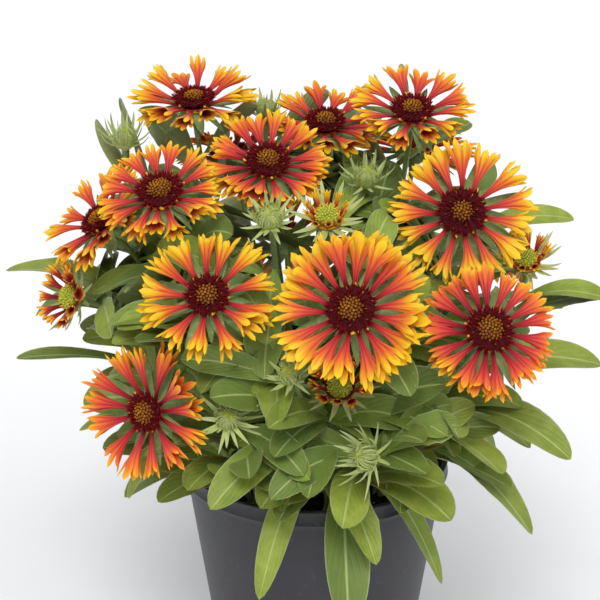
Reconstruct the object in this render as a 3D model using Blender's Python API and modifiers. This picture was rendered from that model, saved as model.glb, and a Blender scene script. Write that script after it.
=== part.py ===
"""Blanket flower plant in its nursery pot: metres, +Z up, front towards -Y, origin under the pot."""

import math
import random
from collections import namedtuple

import bmesh
import bpy
from mathutils import Matrix, Vector
from mathutils.bvhtree import BVHTree

MM = 0.001

# Pot and soil
POT_HEIGHT = 120 * MM
POT_RIM_R = 70 * MM
POT_BASE_R = 51 * MM
POT_WALL = 1.4 * MM
POT_BAND = 8 * MM
POT_BAND_STEP = 2 * MM
POT_FLOOR = 2 * MM
POT_STEPS = 40
SOIL_TOP = 108 * MM
SOIL_EDGE_DROP = 1.5 * MM
SOIL_LUMP = 1.0 * MM
GAP = 0.4 * MM

# Crowns, stems and leaves
CROWN_R = 5 * MM
CROWN_DEPTH = 22 * MM
CROWN_SIDES = 6
CROWN_SPREAD = 2.4 * MM
CROWN_ABOVE = 3 * MM
STEM_ABOVE = 0.6 * MM
STEM_R = 1.7 * MM
STEM_SEGMENTS = 4
LEAF_THICK = 1.3 * MM
LEAF_CLEAR = 0.8 * MM
PLACED_STATIONS = (0.0, 0.28, 0.56, 0.82, 1.0)
RULE_STATIONS = (0.0, 0.32, 0.68, 1.0)
LEAF_FOLD = 0.22
LEAF_FULL = 1.6
LEAF_STALK = 0.06
LEAF_LEAN = 0.8
LEAF_LEAN_R = 60 * MM

# Rays: shares of a ray's length and of its mouth's half width
RAY_VALLEY = 0.80
RAY_VALLEY_HALF = 0.56
RAY_THROAT = 0.38
RAY_FLAT = 0.72
RAY_LAYER = 6.0
YOUNG_RAY_LAYER = 3.0
RAY_HALF_MOST = 5.4 * MM
RAY_PITCH_SHARE = 0.41

# Flower heads: heights along the head's own axis, from the middle of its collar of rays
COLLAR_LOW = -1.2 * MM
COLLAR_TOP = 0.8 * MM
CALYX_TOP = -1.6 * MM
CALYX_SIDE = 1.5 * MM
CALYX_DEPTH = 8 * MM
DISC_UNDER = 1.2 * MM

Head = namedtuple("Head", "name kind at az el reach rays cup disc gold crown")
Leaf = namedtuple("Leaf", "crown root tip width arch")


def mm(x, y, z):
    return Vector((x, y, z)) * MM


# Crowns: where each leafy stem stands in the soil, in millimetres from the pot's middle.
CROWNS = {
    "front": (6, -20),
    "low_front": (8, -44),
    "inner_left": (-16, -22),
    "low_left": (-30, -38),
    "left": (-40, -6),
    "top_left": (-24, 10),
    "top": (-5, -1),
    "top_right": (16, 4),
    "right": (34, -22),
    "back_left": (-14, 32),
    "back_right": (26, 28),
}

# name, kind, centre in mm, facing azimuth (from -Y towards +X) and elevation, reach of the rays in mm,
# number of rays, cup angle, radius of the disc and of its golden middle in mm, crown.
HEADS = [
    Head("bloom_01", "open", (16, -97, 237), -12, 32, 38, 18, 14, 11.0, 5.6, "front"),
    Head("bloom_02", "open", (80, -86, 222), 8, 42, 34, 19, 4, 10.4, 6.0, "right"),
    Head("bloom_03", "open", (70, -36, 264), 3, 34, 37, 15, 9, 11.3, 5.0, "right"),
    Head("bloom_04", "open", (-51, -80, 237), -3, 38, 34, 13, 20, 9.4, 5.0, "inner_left"),
    Head("bloom_05", "open", (-75, -38, 274), -10, 60, 32, 15, 9, 10.6, 6.0, "left"),
    Head("bloom_06", "open", (-24, -10, 281), 4, 58, 32, 16, 13, 10.2, 5.5, "top"),
    Head("bloom_07", "open", (-62, 32, 301), -8, 76, 34, 14, 16, 9.6, 5.2, "top_left"),
    Head("bloom_08", "open", (48, 12, 301), 2, 65, 32, 12, 17, 9.6, 5.2, "top_right"),
    Head("bloom_09", "open", (-80, -78, 178), -32, 14, 35, 13, 18, 8.6, 5.4, "low_left"),
    Head("bloom_10", "plain", (5, 41, 287), 5, 68, 30, 13, 16, 9.2, 5.2, "top"),
    Head("bloom_11", "plain", (-107, -4, 249), -60, 48, 33, 12, 20, 9.2, 5.2, "left"),
    Head("bloom_12", "plain", (54, 74, 264), 160, 60, 34, 13, 12, 10.0, 5.5, "back_right"),
    Head("bloom_13", "plain", (-46, 88, 256), 205, 52, 34, 14, 12, 10.0, 5.5, "back_left"),
    Head("bloom_14", "plain", (96, 88, 204), 130, 32, 33, 13, 14, 9.6, 5.4, "back_right"),
    Head("bloom_15", "plain", (-14, 124, 196), 182, 26, 34, 13, 14, 10.0, 5.6, "back_left"),
    Head("young_bloom_1", "young", (-123, -20, 215), -50, 22, 19, 10, 46, 7.4, 5.4, "left"),
    Head("young_bloom_2", "young", (11, -78, 191), -5, 44, 17, 10, 56, 7.4, 5.4, "low_front"),
    Head("young_bloom_3", "young", (104, -24, 236), -15, 58, 15, 10, 60, 7.0, 5.0, "right"),
    Head("young_bloom_4", "young", (5, -50, 267), 0, 56, 12, 10, 66, 7.4, 5.6, "front"),
    Head("bud_1", "bud", (-22, -67, 272), -5, 48, 12, 9, 34, 5.4, 0, "inner_left"),
    Head("bud_2", "bud", (25, -8, 274), 0, 62, 15, 9, 42, 4.8, 0, "top_right"),
    Head("bud_3", "bud", (-97, 20, 286), 0, 74, 16, 9, 50, 4.8, 0, "top_left"),
    Head("bud_4", "bud", (-42, -90, 180), 5, 40, 15, 9, 14, 4.8, 0, "low_left"),
    Head("bud_5", "bud", (-13, -92, 203), -20, 48, 11, 8, 24, 4.2, 0, "low_front"),
    Head("bud_6", "bud", (23, -101, 165), -48, 22, 17, 9, 38, 5.2, 0, "low_front"),
    Head("bud_7", "bud", (-26, 64, 290), 10, 80, 14, 9, 52, 4.8, 0, "top"),
    Head("bud_8", "bud", (-98, 80, 216), 220, 52, 14, 9, 36, 5.0, 0, "back_left"),
]

# Leaves placed one by one: crown, root as a head's name and the height along its stem, from 0 at the soil
# to 1 at the head, tip in mm, width in mm and arch as a share of the leaf's length.
LEAVES = [
    Leaf("low_front", ("bud_6", 0.14), (16, -102, 72), 27, 0.40),
    Leaf("low_front", ("bud_6", 0.36), (12, -110, 132), 24, 0.20),
    Leaf("low_front", ("bud_6", 0.26), (64, -102, 132), 27, 0.18),
    Leaf("low_front", ("bud_5", 0.20), (29, -94, 104), 18, 0.30),
    Leaf("low_front", ("young_bloom_2", 0.15), (52, -92, 84), 16, 0.46),
    Leaf("low_front", ("bud_5", 0.14), (-28, -96, 86), 17, 0.50),
    Leaf("low_front", ("bud_5", 0.36), (-50, -112, 143), 22, 0.18),
    Leaf("low_front", ("bud_5", 0.66), (-50, -98, 194), 20, 0.12),
    Leaf("low_front", ("young_bloom_2", 0.52), (60, -96, 200), 24, 0.10),
    Leaf("low_front", ("young_bloom_2", 0.60), (-20, -108, 168), 19, 0.16),
    Leaf("low_left", ("bud_4", 0.18), (-78, -70, 126), 21, 0.24),
    Leaf("low_left", ("bud_4", 0.30), (-62, -90, 142), 21, 0.24),
    Leaf("low_left", ("bud_4", 0.48), (-68, -88, 166), 21, 0.16),
    Leaf("low_left", ("bloom_09", 0.40), (-116, -44, 168), 26, 0.20),
    Leaf("low_left", ("bloom_09", 0.14), (-98, -36, 112), 22, 0.34),
    Leaf("left", ("bloom_11", 0.40), (-158, 0, 222), 26, 0.16),
    Leaf("left", ("young_bloom_1", 0.34), (-152, -20, 182), 14, 0.10),
    Leaf("left", ("young_bloom_1", 0.20), (-118, 8, 150), 25, 0.26),
    Leaf("left", ("bloom_05", 0.50), (-126, 24, 240), 20, 0.16),
    Leaf("left", ("bloom_05", 0.36), (-104, -52, 206), 22, 0.18),
    Leaf("top_left", ("bud_3", 0.66), (-112, 34, 300), 24, 0.06),
    Leaf("top_left", ("bloom_07", 0.76), (-88, 44, 298), 24, 0.12),
    Leaf("top_left", ("bloom_07", 0.84), (-30, 52, 294), 24, 0.12),
    Leaf("top_left", ("bloom_07", 0.62), (-92, -8, 268), 22, 0.12),
    Leaf("top", ("bloom_06", 0.66), (-48, -40, 240), 22, 0.14),
    Leaf("top", ("bloom_10", 0.84), (17, 66, 312), 18, 0.05),
    Leaf("top", ("bloom_10", 0.66), (32, 20, 262), 22, 0.12),
    Leaf("top_right", ("bloom_08", 0.88), (38, 48, 318), 18, 0.06),
    Leaf("top_right", ("bloom_08", 0.86), (80, 36, 290), 21, 0.10),
    Leaf("top_right", ("bloom_08", 0.72), (48, -24, 266), 20, 0.14),
    Leaf("top_right", ("bloom_08", 0.58), (84, 34, 252), 24, 0.16),
    Leaf("right", ("bloom_03", 0.76), (132, 12, 246), 15, 0.12),
    Leaf("right", ("young_bloom_3", 0.62), (148, -10, 212), 22, 0.16),
    Leaf("right", ("bloom_02", 0.55), (142, -38, 186), 25, 0.14),
    Leaf("right", ("bloom_02", 0.20), (124, -72, 150), 27, 0.26),
    Leaf("right", ("bloom_02", 0.13), (106, -78, 112), 26, 0.34),
    Leaf("right", ("bloom_02", 0.30), (92, -98, 152), 27, 0.18),
    Leaf("right", ("bloom_02", 0.44), (66, -104, 176), 21, 0.14),
    Leaf("front", ("bloom_01", 0.44), (-24, -84, 186), 24, 0.20),
    Leaf("front", ("bloom_01", 0.60), (46, -84, 232), 22, 0.12),
    Leaf("front", ("young_bloom_4", 0.66), (38, -60, 246), 20, 0.16),
    Leaf("inner_left", ("bloom_04", 0.42), (-98, -70, 204), 22, 0.18),
    Leaf("inner_left", ("bloom_04", 0.60), (-84, -84, 212), 18, 0.14),
    Leaf("inner_left", ("bud_1", 0.76), (-25, -86, 198), 24, 0.14),
    Leaf("back_left", ("bloom_13", 0.40), (-96, 96, 166), 25, 0.24),
    Leaf("back_left", ("bud_8", 0.34), (-124, 46, 172), 25, 0.20),
    Leaf("back_left", ("bloom_13", 0.66), (-58, 122, 218), 22, 0.16),
    Leaf("back_left", ("bloom_15", 0.50), (34, 134, 166), 24, 0.18),
    Leaf("back_right", ("bloom_14", 0.30), (52, 116, 124), 25, 0.28),
    Leaf("back_right", ("bloom_14", 0.50), (136, 62, 178), 25, 0.18),
    Leaf("back_right", ("bloom_12", 0.66), (62, 116, 220), 24, 0.16),
    Leaf("back_right", ("bloom_12", 0.52), (114, 36, 212), 24, 0.16),
]

# Leaves by rule on each crown: how many low ones arch out over the rim, how many fill it higher up, and
# the sector that they point into, in degrees from -Y.
RULES = {
    "front": (0, 3, -60, 60),
    "low_front": (0, 1, -50, 50),
    "inner_left": (0, 3, -110, 0),
    "low_left": (1, 2, -110, -60),
    "left": (3, 3, -155, -80),
    "top_left": (0, 4, 190, 300),
    "top": (0, 3, 60, 300),
    "top_right": (0, 4, 40, 200),
    "right": (3, 3, 62, 116),
    "back_left": (4, 3, 175, 265),
    "back_right": (4, 4, 95, 185),
}
LEAF_TRIES = 36

# Colour, roughness
GREEN = ((0.13, 0.25, 0.06, 1), 0.6)
RAY_RED = ((0.80, 0.14, 0.05, 1), 0.55)
YOUNG_RED = ((0.45, 0.04, 0.02, 1), 0.55)
MAROON = ((0.16, 0.006, 0.012, 1), 0.6)
GOLD = ((0.55, 0.25, 0.02, 1), 0.6)
LIME = ((0.50, 0.52, 0.05, 1), 0.6)
PLASTIC = ((0.035, 0.035, 0.042, 1), 0.45)
SOIL = ((0.02, 0.014, 0.010, 1), 0.95)


def clear_scene():
    for obj in list(bpy.data.objects):
        bpy.data.objects.remove(obj, do_unlink=True)


def new_collection(name, hidden=False):
    collection = bpy.data.collections.new(name)
    bpy.context.scene.collection.children.link(collection)
    collection.hide_render = hidden
    return collection


def material(name, look):
    made = bpy.data.materials.new(name)
    made.use_nodes = True
    shader = made.node_tree.nodes["Principled BSDF"]
    shader.inputs["Base Color"].default_value = look[0]
    shader.inputs["Roughness"].default_value = look[1]
    shader.inputs["Metallic"].default_value = 0
    made.diffuse_color = look[0]
    return made


def object_from(name, bm, collection, look=None):
    """A mesh object of the bmesh with its faces outwards."""
    bmesh.ops.recalc_face_normals(bm, faces=bm.faces)
    mesh = bpy.data.meshes.new(name)
    bm.to_mesh(mesh)
    bm.free()
    obj = bpy.data.objects.new(name, mesh)
    collection.objects.link(obj)
    if look:
        obj.data.materials.append(material(name + " surface", look))
    return obj


def facing(azimuth, elevation):
    """Unit vector: azimuth in degrees from -Y towards +X, elevation above the floor."""
    a = math.radians(azimuth)
    e = math.radians(elevation)
    return Vector((math.sin(a) * math.cos(e), -math.cos(a) * math.cos(e), math.sin(e)))


def head_frame(head):
    """Matrix from a head's own frame, with its axis along Z and X level, to the world."""
    axis = facing(head.az, head.el)
    side = Vector((0, 0, 1)).cross(axis).normalized()
    up = axis.cross(side)
    frame = Matrix((side, up, axis)).transposed().to_4x4()
    frame.translation = mm(*head.at)
    return frame


def polar(radius, angle, z):
    return Vector((radius * math.cos(angle), radius * math.sin(angle), z))


def ring_of(bm, radius, z, count, phase=0.0):
    """count vertices on a circle; phase is a share of one step."""
    return [bm.verts.new(polar(radius, math.tau * (i + phase) / count, z)) for i in range(count)]


def bridge(bm, low, high):
    """Quads between two rings of the same count."""
    count = len(low)
    for i in range(count):
        j = (i + 1) % count
        bm.faces.new((low[i], low[j], high[j], high[i]))


def cap(bm, ring, centre):
    """Triangles from a ring to one vertex."""
    count = len(ring)
    for i in range(count):
        bm.faces.new((ring[i], ring[(i + 1) % count], centre))


def collar_radii(head):
    """Inner and outer radius of the ring that carries the rays."""
    if head.kind == "young":
        return (head.disc - 1.2) * MM, head.disc * MM
    return (head.gold + 1.1) * MM, (head.disc - 1.4) * MM


def ray_turns(head):
    """For each ray: its sideways and upward turn in degrees and its length factor, seeded by the head."""
    rng = random.Random("rays " + head.name)
    turns = []
    for i in range(head.rays):
        layer = 1 if i % 2 else -1
        lift = layer * (YOUNG_RAY_LAYER if head.kind == "young" else RAY_LAYER)
        turns.append((rng.uniform(-1.5, 1.5), lift + rng.uniform(-1.5, 1.5), rng.uniform(0.92, 1.04)))
    return turns


def ray_lobe_width(head, reach, cup):
    """Half width of a ray's mouth, so that neighbours stay apart."""
    ring = reach * math.cos(math.radians(cup)) + collar_radii(head)[1] * 0.3
    pitch = math.tau * ring / head.rays
    return min(RAY_HALF_MOST, RAY_PITCH_SHARE * pitch)


def add_rays(head):
    """The ring of fluted rays: each grows from one facet of the collar and opens into a lobed mouth."""
    bm = bmesh.new()
    count = head.rays
    r_in, r_out = collar_radii(head)
    top_out = ring_of(bm, r_out, COLLAR_TOP, count)
    low_out = ring_of(bm, r_out, COLLAR_LOW, count)
    inner = ring_of(bm, r_in, (COLLAR_TOP + COLLAR_LOW) / 2, count)
    bridge(bm, top_out, inner)
    bridge(bm, inner, low_out)
    for i, (swing, lift, stretch) in enumerate(ray_turns(head)):
        j = (i + 1) % count
        # The facet's corners, turning from the tangent's side round over the top
        corners = [top_out[j], top_out[i], low_out[i], low_out[j]]
        angle = math.tau * (i + 0.5) / count + math.radians(swing)
        cup = head.cup + lift
        rise = math.radians(cup)
        along = Vector((math.cos(rise) * math.cos(angle), math.cos(rise) * math.sin(angle), math.sin(rise)))
        side = Vector((-math.sin(angle), math.cos(angle), 0))
        over = along.cross(side)
        if over.z < 0:
            over.negate()
        start = (corners[0].co + corners[1].co + corners[2].co + corners[3].co) / 4
        length = head.reach * MM * stretch - r_out * math.cos(rise)
        half = ray_lobe_width(head, head.reach * MM, cup)
        add_trumpet(bm, corners, start, along, side, over, length, half)
    return bm


def add_trumpet(bm, corners, start, along, side, over, length, half):
    """A funnel with four lobes on four corners: its mouth opens towards the end."""
    valley = start + along * length * RAY_VALLEY
    tip = start + along * length
    # Corners run +side+over, -side+over, -side-over, +side-over
    signs = ((1, 1), (-1, 1), (-1, -1), (1, -1))
    valleys = []
    for s, o in signs:
        point = valley + (side * s + over * RAY_FLAT * o) * half * RAY_VALLEY_HALF
        valleys.append(bm.verts.new(point))
    tips = []
    for s, o in ((0, 1), (-1, 0), (0, -1), (1, 0)):
        tips.append(bm.verts.new(tip + (side * s + over * RAY_FLAT * o) * half))
    throat = bm.verts.new(start + along * length * RAY_THROAT)
    for k in range(4):
        n = (k + 1) % 4
        bm.faces.new((corners[k], valleys[k], tips[k]))
        bm.faces.new((corners[k], tips[k], corners[n]))
        bm.faces.new((corners[n], tips[k], valleys[n]))
        bm.faces.new((throat, tips[k], valleys[k]))
        bm.faces.new((throat, valleys[n], tips[k]))


def add_disc_ring(head):
    """The dark outer florets: a ring whose rim and shoulder stand out in points."""
    bm = bmesh.new()
    count = 9
    gold = head.gold * MM + GAP
    disc = head.disc * MM
    point = 1.0 * MM
    rings = [
        ring_of(bm, gold, DISC_UNDER, count),
        ring_of(bm, disc * 0.90, DISC_UNDER + 2.0 * MM, count),
        ring_of(bm, disc, DISC_UNDER + 3.0 * MM, count),
        ring_of(bm, disc * 0.80, DISC_UNDER + 4.6 * MM, count, 0.5),
        ring_of(bm, gold, DISC_UNDER + 4.2 * MM, count),
    ]
    raise_points(rings[2], point)
    raise_points(rings[3], point)
    for low, high in zip(rings, rings[1:] + rings[:1]):
        bridge(bm, low, high)
    bmesh.ops.triangulate(bm, faces=bm.faces)
    return bm


def raise_points(ring, height):
    """Every other vertex of a ring moved out and up."""
    for vert in ring[::2]:
        out = Vector((vert.co.x, vert.co.y, 0)).normalized()
        vert.co += out * height * 0.8 + Vector((0, 0, height))


def add_disc_centre(head):
    """The golden inner florets: a plug with a knobbly dome."""
    bm = bmesh.new()
    count = 8
    gold = head.gold * MM
    foot = ring_of(bm, gold, COLLAR_LOW, count)
    rim = ring_of(bm, gold, DISC_UNDER + 3.4 * MM, count)
    dome = ring_of(bm, gold * 0.62, DISC_UNDER + 5.4 * MM, count, 0.5)
    raise_points(dome, 0.5 * MM)
    cap(bm, foot, bm.verts.new((0, 0, COLLAR_LOW)))
    bridge(bm, foot, rim)
    bridge(bm, rim, dome)
    cap(bm, dome, bm.verts.new((0, 0, DISC_UNDER + 5.8 * MM)))
    bmesh.ops.triangulate(bm, faces=bm.faces)
    return bm


def add_whole_disc(head):
    """A disc in one piece: plug, dark pointed rim and dome."""
    bm = bmesh.new()
    count = 12
    gold = head.gold * MM
    disc = head.disc * MM
    foot = ring_of(bm, gold, COLLAR_LOW, count)
    neck = ring_of(bm, gold, DISC_UNDER, count)
    under = ring_of(bm, disc * 0.90, DISC_UNDER + 2.0 * MM, count)
    rim = ring_of(bm, disc, DISC_UNDER + 3.0 * MM, count)
    dome = ring_of(bm, disc * 0.70, DISC_UNDER + 5.0 * MM, count, 0.5)
    raise_points(rim, 1.0 * MM)
    raise_points(dome, 0.8 * MM)
    rings = [foot, neck, under, rim, dome]
    cap(bm, foot, bm.verts.new((0, 0, COLLAR_LOW)))
    for low, high in zip(rings, rings[1:]):
        bridge(bm, low, high)
    cap(bm, dome, bm.verts.new((0, 0, DISC_UNDER + 6.0 * MM)))
    bmesh.ops.triangulate(bm, faces=bm.faces)
    return bm


def add_young_disc(head):
    """The yellow-green middle of a bloom that is still opening."""
    bm = bmesh.new()
    count = 10
    radius = (head.disc - 1.2) * MM - GAP
    foot = ring_of(bm, radius, COLLAR_LOW, count)
    rim = ring_of(bm, radius, 2.0 * MM, count)
    dome = ring_of(bm, radius * 0.66, 4.0 * MM, count, 0.5)
    raise_points(dome, 0.6 * MM)
    cap(bm, foot, bm.verts.new((0, 0, COLLAR_LOW)))
    bridge(bm, foot, rim)
    bridge(bm, rim, dome)
    cap(bm, dome, bm.verts.new((0, 0, 4.6 * MM)))
    bmesh.ops.triangulate(bm, faces=bm.faces)
    return bm


def bract_plan(head):
    """Count, length and upward angle of the bracts round a head's calyx."""
    if head.kind == "bud":
        return head.rays, head.reach * MM, head.cup
    if head.kind == "young":
        return 9, 15 * MM, 20
    return 8, head.reach * 0.62 * MM, max(head.cup - 26, -24)


def calyx_radius(head):
    if head.kind == "bud":
        return head.disc * MM
    return collar_radii(head)[1]


def add_calyx(head):
    """The green cup that carries a head, with its ring of pointed bracts, and a bud's dome."""
    bm = bmesh.new()
    count, length, angle = bract_plan(head)
    radius = calyx_radius(head)
    low = ring_of(bm, radius, CALYX_TOP - CALYX_SIDE, count)
    high = ring_of(bm, radius, CALYX_TOP, count)
    cap(bm, low, bm.verts.new((0, 0, -CALYX_DEPTH)))
    if head.kind == "bud":
        dome = ring_of(bm, radius * 0.72, 1.8 * MM, count)
        bridge(bm, high, dome)
        cap(bm, dome, bm.verts.new((0, 0, 3.6 * MM)))
    else:
        cap(bm, high, bm.verts.new((0, 0, CALYX_TOP)))
    rng = random.Random("bracts " + head.name)
    for i in range(count):
        j = (i + 1) % count
        turn = math.tau * (i + 0.5) / count + rng.uniform(-0.08, 0.08)
        rise = math.radians(angle + rng.uniform(-4, 4))
        stretch = length * rng.uniform(0.88, 1.05)
        start = Vector((0, 0, CALYX_TOP - CALYX_SIDE / 2))
        tip = bm.verts.new(start + polar(radius + stretch * math.cos(rise), turn, stretch * math.sin(rise)))
        for a, b in ((low[i], low[j]), (low[j], high[j]), (high[j], high[i]), (high[i], low[i])):
            bm.faces.new((a, b, tip))
    bmesh.ops.triangulate(bm, faces=bm.faces)
    return bm


def bezier(points, t):
    a, b, c, d = points
    s = 1 - t
    return a * s ** 3 + b * (3 * s * s * t) + c * (3 * s * t * t) + d * t ** 3


def stem_route(head):
    """Points along a head's stem, on a cubic curve from inside its crown to inside its calyx."""
    x, y = CROWNS[head.crown]
    mates = [other.name for other in HEADS if other.crown == head.crown]
    turn = math.atan2(head.at[1] - y, head.at[0] - x)
    turn += math.radians(70) * (mates.index(head.name) - (len(mates) - 1) / 2)
    start = mm(x, y, 0) + polar(CROWN_SPREAD, turn, SOIL_TOP + STEM_ABOVE)
    axis = facing(head.az, head.el)
    end = mm(*head.at) - axis * (CALYX_DEPTH - 1.6 * MM)
    span = (end - start).length
    lean = Vector(((end - start).x, (end - start).y, 0)) * 0.22
    guides = (start, start + lean + Vector((0, 0, span * 0.42)), end - axis * span * 0.26, end)
    return [bezier(guides, i / STEM_SEGMENTS) for i in range(STEM_SEGMENTS + 1)]


def along(route, share):
    """The point at a share of a route of straight runs."""
    place = share * (len(route) - 1)
    run = min(int(place), len(route) - 2)
    return route[run].lerp(route[run + 1], place - run)


def stem_object(head, collection):
    """A tube along the stem, made a closed mesh."""
    curve = bpy.data.curves.new(head.name + " stem", "CURVE")
    curve.dimensions = "3D"
    curve.bevel_depth = STEM_R
    curve.bevel_resolution = 0
    curve.use_fill_caps = True
    spline = curve.splines.new("POLY")
    spline.points.add(STEM_SEGMENTS)
    for point, place in zip(spline.points, stem_route(head)):
        point.co = (*place, 1)
    guide = bpy.data.objects.new(head.name + " stem guide", curve)
    collection.objects.link(guide)
    mesh = bpy.data.meshes.new_from_object(guide.evaluated_get(bpy.context.evaluated_depsgraph_get()))
    bpy.data.objects.remove(guide)
    bm = bmesh.new()
    bm.from_mesh(mesh)
    bmesh.ops.remove_doubles(bm, verts=bm.verts, dist=1e-6)
    return object_from(head.name + " stem", bm, collection)


def crown_object(name, collection):
    """The short rooted foot of a leafy stem, which stands in its hole in the soil."""
    x, y = CROWNS[name]
    bm = bmesh.new()
    bmesh.ops.create_cone(
        bm,
        cap_ends=True,
        segments=CROWN_SIDES,
        radius1=CROWN_R,
        radius2=CROWN_R,
        depth=CROWN_DEPTH + CROWN_ABOVE,
        matrix=Matrix.Translation(mm(x, y, 0) + Vector((0, 0, SOIL_TOP + (CROWN_ABOVE - CROWN_DEPTH) / 2))),
    )
    return object_from(name + " crown", bm, collection)


def leaf_frame(root, tip, arch, t):
    """Point, forward direction and side direction of a leaf's midrib at t."""
    span = tip - root
    middle = root + span * 0.45 + Vector((0, 0, 1)) * span.length * arch * 1.6
    s = 1 - t
    point = root * s * s + middle * (2 * s * t) + tip * t * t
    forward = ((middle - root) * (2 * s) + (tip - middle) * (2 * t)).normalized()
    outward = Vector((middle.x, middle.y, 0))
    lean = min(1.0, outward.length / LEAF_LEAN_R)
    normal = outward.normalized() * LEAF_LEAN * lean + Vector((0, 0, 1)) * (1 - 0.35 * lean)
    side = forward.cross(normal)
    return point, forward, side.normalized()


def leaf_half_width(t):
    """Half width as a share of the leaf's width: a narrow stalk, a broad blade and a point."""
    blade = max(0.0, (t - LEAF_STALK) / (1 - LEAF_STALK))
    return max(0.5 * LEAF_FULL * blade ** 0.85 * (1 - blade ** 2.6) ** 0.85, LEAF_STALK * (1 - t))


def leaf_solid(root, tip, width, arch, stations, pad=0.0):
    """Points and triangles of a leaf with a lens section: edge, upper rib, edge and lower rib at each
    station, then the tip. pad thickens it for testing what it would cross."""
    points = []
    for t in stations[:-1]:
        point, forward, side = leaf_frame(root, tip, arch, t)
        over = side.cross(forward)
        half = leaf_half_width(t) * width
        lift = over * half * LEAF_FOLD
        rib = over * (LEAF_THICK / 2 + pad)
        points += [point - side * (half + pad) + lift, point + rib, point + side * (half + pad) + lift, point - rib]
    points.append(leaf_frame(root, tip, arch, 1.0)[0])
    faces = [(0, 3, 2), (0, 2, 1)]
    for low in range(0, 4 * (len(stations) - 2), 4):
        left, upper, right, under = range(low, low + 4)
        for rib in (upper, under):
            faces += [(left, rib, rib + 4), (left, rib + 4, left + 4)]
            faces += [(rib, right, right + 4), (rib, right + 4, rib + 4)]
    end = len(points) - 1
    faces += [(end - 4 + k, end - 4 + (k + 1) % 4, end) for k in range(4)]
    return points, faces


def leaf_tree(root, tip, width, arch, stations, keep_root):
    """A search tree of the leaf, padded, with or without its first stretch at the stem."""
    points, faces = leaf_solid(root, tip, width, arch, stations, LEAF_CLEAR)
    if not keep_root:
        faces = [face for face in faces if min(face) >= 4]
    return BVHTree.FromPolygons(points, faces)


def tree_of(obj):
    """A search tree of an object whose vertices are in world space."""
    mesh = obj.data
    return BVHTree.FromPolygons([v.co for v in mesh.vertices], [p.vertices[:] for p in mesh.polygons])


def turned_tip(root, tip, step):
    """The tip swung and raised about the root: further for each later step."""
    if step == 0:
        return tip
    reach = 4.0 + 1.6 * step
    angle = step * 2.4
    swing = Matrix.Rotation(math.radians(reach * math.cos(angle)), 3, "Z")
    span = swing @ (tip - root)
    side = span.cross(Vector((0, 0, 1))).normalized()
    return root + Matrix.Rotation(math.radians(reach * 0.8 * math.sin(angle)), 3, side) @ span


def place_leaf(stem, height, tip, width, arch, stations, own, others):
    """The leaf's root and the first tip near the wanted one that is clear of everything, or None."""
    root = along(stem, height)
    for step in range(LEAF_TRIES):
        moved = turned_tip(root, tip, step)
        blade = leaf_tree(root, moved, width, arch, stations, False)
        if any(blade.overlap(tree) for tree in own):
            continue
        whole = leaf_tree(root, moved, width, arch, stations, True)
        if any(whole.overlap(tree) for tree in others):
            continue
        return root, moved, blade, whole
    return None


def leaf_object(name, root, tip, width, arch, stations, collection):
    """The leaf made solid."""
    points, faces = leaf_solid(root, tip, width, arch, stations)
    bm = bmesh.new()
    verts = [bm.verts.new(point) for point in points]
    for face in faces:
        bm.faces.new([verts[i] for i in face])
    return object_from(name, bm, collection)


def fuse(name, pieces, collection, look):
    """One Boolean union of all the pieces, applied, with the pieces then removed."""
    first, rest = pieces[0], pieces[1:]
    bundle = new_collection(name + " pieces")
    for piece in rest:
        for home in list(piece.users_collection):
            home.objects.unlink(piece)
        bundle.objects.link(piece)
    joined = first.modifiers.new("join", "BOOLEAN")
    joined.operation = "UNION"
    joined.operand_type = "COLLECTION"
    joined.collection = bundle
    joined.solver = "MANIFOLD"
    graph = bpy.context.evaluated_depsgraph_get()
    mesh = bpy.data.meshes.new_from_object(first.evaluated_get(graph))
    for piece in pieces:
        bpy.data.objects.remove(piece)
    bpy.data.collections.remove(bundle)
    mesh.name = name
    obj = bpy.data.objects.new(name, mesh)
    collection.objects.link(obj)
    obj.data.materials.clear()
    obj.data.materials.append(material(name + " surface", look))
    return obj


def turned(name, profile, steps, collection, look):
    """A closed profile of (radius, height) turned about Z with a Screw modifier."""
    mesh = bpy.data.meshes.new(name)
    points = [(r, 0, z) for r, z in profile]
    count = len(points)
    closed = profile[0][0] > 0
    edges = [(i, (i + 1) % count) for i in range(count if closed else count - 1)]
    mesh.from_pydata(points, edges, [])
    obj = bpy.data.objects.new(name, mesh)
    collection.objects.link(obj)
    screw = obj.modifiers.new("turn", "SCREW")
    screw.steps = steps
    screw.render_steps = steps
    screw.use_merge_vertices = True
    screw.merge_threshold = 1e-5
    obj.data.materials.append(material(name + " surface", look))
    return obj


def make_pot(collection):
    """The nursery pot: tapered wall, rolled band under the rim and a flat floor."""
    body_r = POT_RIM_R - POT_BAND_STEP
    body_z = POT_HEIGHT - POT_BAND
    profile = [
        (0, POT_FLOOR),
        (POT_BASE_R - POT_WALL, POT_FLOOR),
        (body_r - POT_WALL, POT_HEIGHT),
        (POT_RIM_R, POT_HEIGHT),
        (POT_RIM_R, body_z),
        (body_r, body_z),
        (POT_BASE_R, 0),
        (0, 0),
    ]
    return turned("pot", profile, POT_STEPS, collection, PLASTIC)


def inner_radius(z):
    """The pot's inner radius at a height."""
    share = (z - POT_FLOOR) / (POT_HEIGHT - POT_FLOOR)
    low = POT_BASE_R - POT_WALL
    return low + (POT_RIM_R - POT_BAND_STEP - POT_WALL - low) * share


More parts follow.
